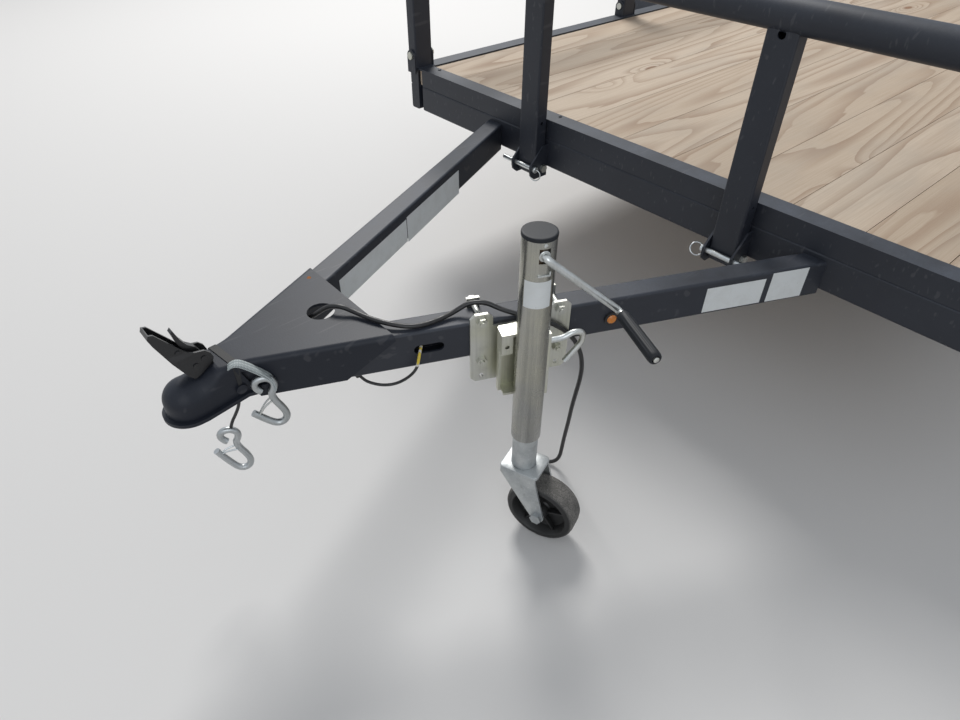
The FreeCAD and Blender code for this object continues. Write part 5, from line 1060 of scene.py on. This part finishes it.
def make_fork_flange(materials):
    """The fork's top flange with rolled edges, open round the leg."""
    centre = on_jack(0, 0, 0)
    bm = bmesh.new()
    rows = []
    for inset, z in FLANGE_SECTION:
        row = []
        for i in range(FLANGE_STEPS):
            turn = 2 * math.pi * i / FLANGE_STEPS
            reach = FLANGE_HOLE if inset is None else flange_reach(turn) - inset
            a = turn + CASTER_HEADING
            arm = Vector((math.cos(a) * reach, math.sin(a) * reach, z)) * MM
            row.append(bm.verts.new(centre + arm))
        rows.append(row)
    skin(bm, rows + rows[:1], ring=True)
    finished("fork_flange", smooth_mesh(bm, "fork_flange", materials["galvanised"], 40.0), "fork")


# The safety hooks and their strap

def make_hooks(materials):
    """Two bent-bar hooks, each with a sprung wire keeper across its mouth."""
    parts = []
    for n, shape in HOOK_SHAPES:
        parts.append(bar([beam(s, n, z) for s, z in shape], HOOK_R, materials["zinc_dull"], steps=8))
        start = Vector(shape[NECK_POINT]) + Vector(KEEPER_START)
        end = Vector(shape[-1]) + Vector(KEEPER_END)
        middle = (start + end) / 2 + Vector(KEEPER_BOW)
        for off in (-KEEPER_HALF, KEEPER_HALF):
            wire = [beam(p.x, n + off * share, p.y) for p, share in zip((start, middle, end), KEEPER_SPREAD)]
            parts.append(bar(wire, KEEPER_R, materials["zinc_bright"], sides=3, steps=6))
    return finished("bent_hooks", joined("bent_hooks", parts), "root", ("safety_hooks",))


def band(line, n0, n1, thickness, material, columns=6):
    """A woven band along a line of (s, z), with UV in metres across and along it, and its length."""
    bm = bmesh.new()
    uv = bm.loops.layers.uv.new("weave")
    rows, flat, length = [], {}, 0.0
    for k, (s, z) in enumerate(line):
        if k:
            length += math.dist(line[k - 1], line[k])
        row = []
        for j in range(columns + 1):
            across = (n1 - n0) * j / columns
            vert = bm.verts.new(beam(s, n0 + across, z))
            flat[vert] = (across * MM, length * MM)
            row.append(vert)
        rows.append(row)
    skin(bm, rows)
    for face in bm.faces:
        for loop in face.loops:
            loop[uv].uv = flat[loop.vert]
    mesh = mesh_of(bm, "webbing", material)
    mesh.shade_smooth()
    return thickened(mesh, thickness), length


def make_strap(materials):
    """The doubled webbing that carries the first hook."""
    path = evaluated(placed("path", nurbs_curve("path", [(s, 0, z) for s, z in STRAP_PATH], STRAP_STEPS)))
    outer = [(v.co.x, v.co.z) for v in path.vertices]
    inner = [(s + STRAP_FOLD[0], z + STRAP_FOLD[1]) for s, z in outer]
    meshes = []
    for line in (outer, inner):
        mesh, run = band(line, STRAP_N0, STRAP_N1, STRAP_T, materials["webbing"])
        meshes.append(mesh)
    strap = finished("webbing_strap", joined("webbing_strap", meshes), "root", ("safety_strap",))


# The rail pins, screws and blank labels

def make_rail_pins(materials):
    """The pins ahead of the front posts, each with a split ring through its head."""
    zinc = materials["zinc_bright"]
    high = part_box("front_rail_pins")[1]
    middle = middle_of("front_rail_pins")
    parts = []
    for way, (towards, axis) in RINGS.items():
        tip = Vector((middle.x, way * high.y, middle.z))
        parts.append(lathe(PIN_PROFILE, tip, (0, -way, 0), 32, zinc))
        head = tip - Vector((0, way * PIN_EYE * MM, 0))
        axis = Vector(axis).normalized()
        arm = Vector(towards)
        arm = (arm - axis * arm.dot(axis)).normalized()
        centre = head + arm * RING_R * MM
        other = axis.cross(arm)
        turns = [2 * math.pi * i / RING_POINTS for i in range(RING_POINTS)]
        reach = RING_R * RING_SWELL * MM
        loop = [centre + (arm * math.cos(a) + other * math.sin(a)) * reach for a in turns]
        parts.append(bar(loop, RING_BAR, zinc, closed=True, sides=4, steps=6))
    name = "rail_pins_ringed"
    finished(name, joined(name, parts), "root", ("front_rail_pins",))


def make_screws(materials, tree):
    """Rows of round-headed screws through the top flanges into the boards' ends."""
    paint = materials["paint"]
    rows = []
    for name, x in (("front_angle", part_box("front_angle")[1].x - SCREW_BACK * MM),
                    ("rear_angle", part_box("rear_angle")[0].x + SCREW_BACK * MM)):
        screw = lathe(SCREW_PROFILE, (0, 0, 0), UP, 20, paint)
        row = repeated(tree, screw, SCREW_COUNT, paint, step=(0, SCREW_STEP * MM, 0), wobble=SCREW_WOBBLE)
        row.transform(Matrix.Translation((x, SCREW_FIRST_Y * MM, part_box(name)[1].z)))
        rows.append(row)
    finished("flange_screws", joined("flange_screws", rows), "root")


def make_labels(materials):
    """Blank stickers where the beams and the jack's tube carry labels."""
    film = materials["blank_label"]
    outer, inner = (LABEL_OFF, LABEL_T), (-BEAM_WIDTH - LABEL_T, -BEAM_WIDTH - LABEL_OFF)
    parts = []
    for labels, (n0, n1), place_of in ((LEFT_LABELS, outer, beam), (RIGHT_LABELS, inner, mirrored_beam)):
        for s0, s1, z0, z1 in labels:
            parts.append(block((s0, n0, z0), (s1, n1, z1), LABEL_EDGE, film, place_of, 1))
    finished("blank_labels", joined("blank_labels", parts), "root")

    turn0, turn1, z0, z1 = TUBE_LABEL
    centre = on_jack(0, 0, 0)
    bm = bmesh.new()
    rows = []
    for off, z in ((LABEL_OFF, z0), (LABEL_T, z0), (LABEL_T, z1), (LABEL_OFF, z1)):
        row = []
        for i in range(TUBE_LABEL_STEPS + 1):
            a = math.radians(turn0 + (turn1 - turn0) * i / TUBE_LABEL_STEPS)
            r = TUBE_R + off
            row.append(bm.verts.new(centre + Vector((math.cos(a) * r, math.sin(a) * r, z)) * MM))
        rows.append(row)
    skin(bm, rows + rows[:1])
    for end in (0, -1):
        bm.faces.new([row[end] for row in rows])
    finished("tube_label", smooth_mesh(bm, "tube_label", film, 40.0), "jack")


# The band over the coupler's neck

def make_neck_band(materials):
    """The black band that lies across the coupler's neck and ties the webbing down."""
    surface = BVHTree.FromObject(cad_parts["coupler"], bpy.context.evaluated_depsgraph_get())
    start, end = ahead(*NECK_BAND_FROM), ahead(*NECK_BAND_TO)
    along = (end - start).normalized()
    side = Vector((-along.y, along.x, 0.0))
    bm = bmesh.new()
    rows = []
    for i in range(NECK_BAND_STEPS + 1):
        row = []
        for j in range(NECK_BAND_COLUMNS + 1):
            off = (j / NECK_BAND_COLUMNS - 0.5) * NECK_BAND_WIDTH * MM
            place = start.lerp(end, i / NECK_BAND_STEPS) + side * off
            found = surface.ray_cast(Vector((place.x, place.y, NECK_BAND_ABOVE)), -UP)[0]
            height = found.z if found else place.z
            row.append(bm.verts.new((place.x, place.y, height + NECK_BAND_LIFT * MM)))
        rows.append(row)
    skin(bm, rows)
    mesh = thickened(mesh_of(bm, "neck_band", materials["black_webbing"]), NECK_BAND_T)
    mesh.shade_smooth()
    mesh.set_sharp_from_angle(angle=math.radians(40.0))
    finished("neck_band", mesh, "root")


# The cords

def make_cord(name, node, route, radius, length, material, **facts):
    """A cord on its route in its CAD node's place; the facts are not used."""
    places = [beam(*p) for p in route]
    curve = nurbs_curve(name, places, 10)
    thicken_curve(curve, radius, 5, material)
    cord = placed(name, curve)
    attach(cord, "root")
    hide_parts(node)


def make_cords(materials, hooks):
    make_cord("harness", "harness_cord", HARNESS_ROUTE, HARNESS_R, HARNESS_LENGTH, materials["sheath"],
              far_end="connector", stiffness="limp", lay="loose",
              with_pieces=[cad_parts["harness_plug"]])
    make_cord("marker_wire", "wire_loop", LOOP_ROUTE, LOOP_R, LOOP_LENGTH, materials["loop_sheath"],
              far_end="object", stiffness="limp", lay="hanging")
    make_cord("hook_cable", "safety_cable", CABLE_ROUTE, CABLE_R, CABLE_LENGTH, materials["sheath"],
              far_end="fitting", stiffness="medium", lay="hanging", with_pieces=[hooks])


make_camera()
materials = build_materials(build_groups())
make_stage()
finish_nodes(materials)
tree = repeat_tree()
make_tyres(materials, tree)
make_jack(materials)
make_caster(materials, tree)
make_fork_flange(materials)
hooks = make_hooks(materials)
make_strap(materials)
make_rail_pins(materials)
make_screws(materials, tree)
make_labels(materials)
make_neck_band(materials)
make_cords(materials, hooks)
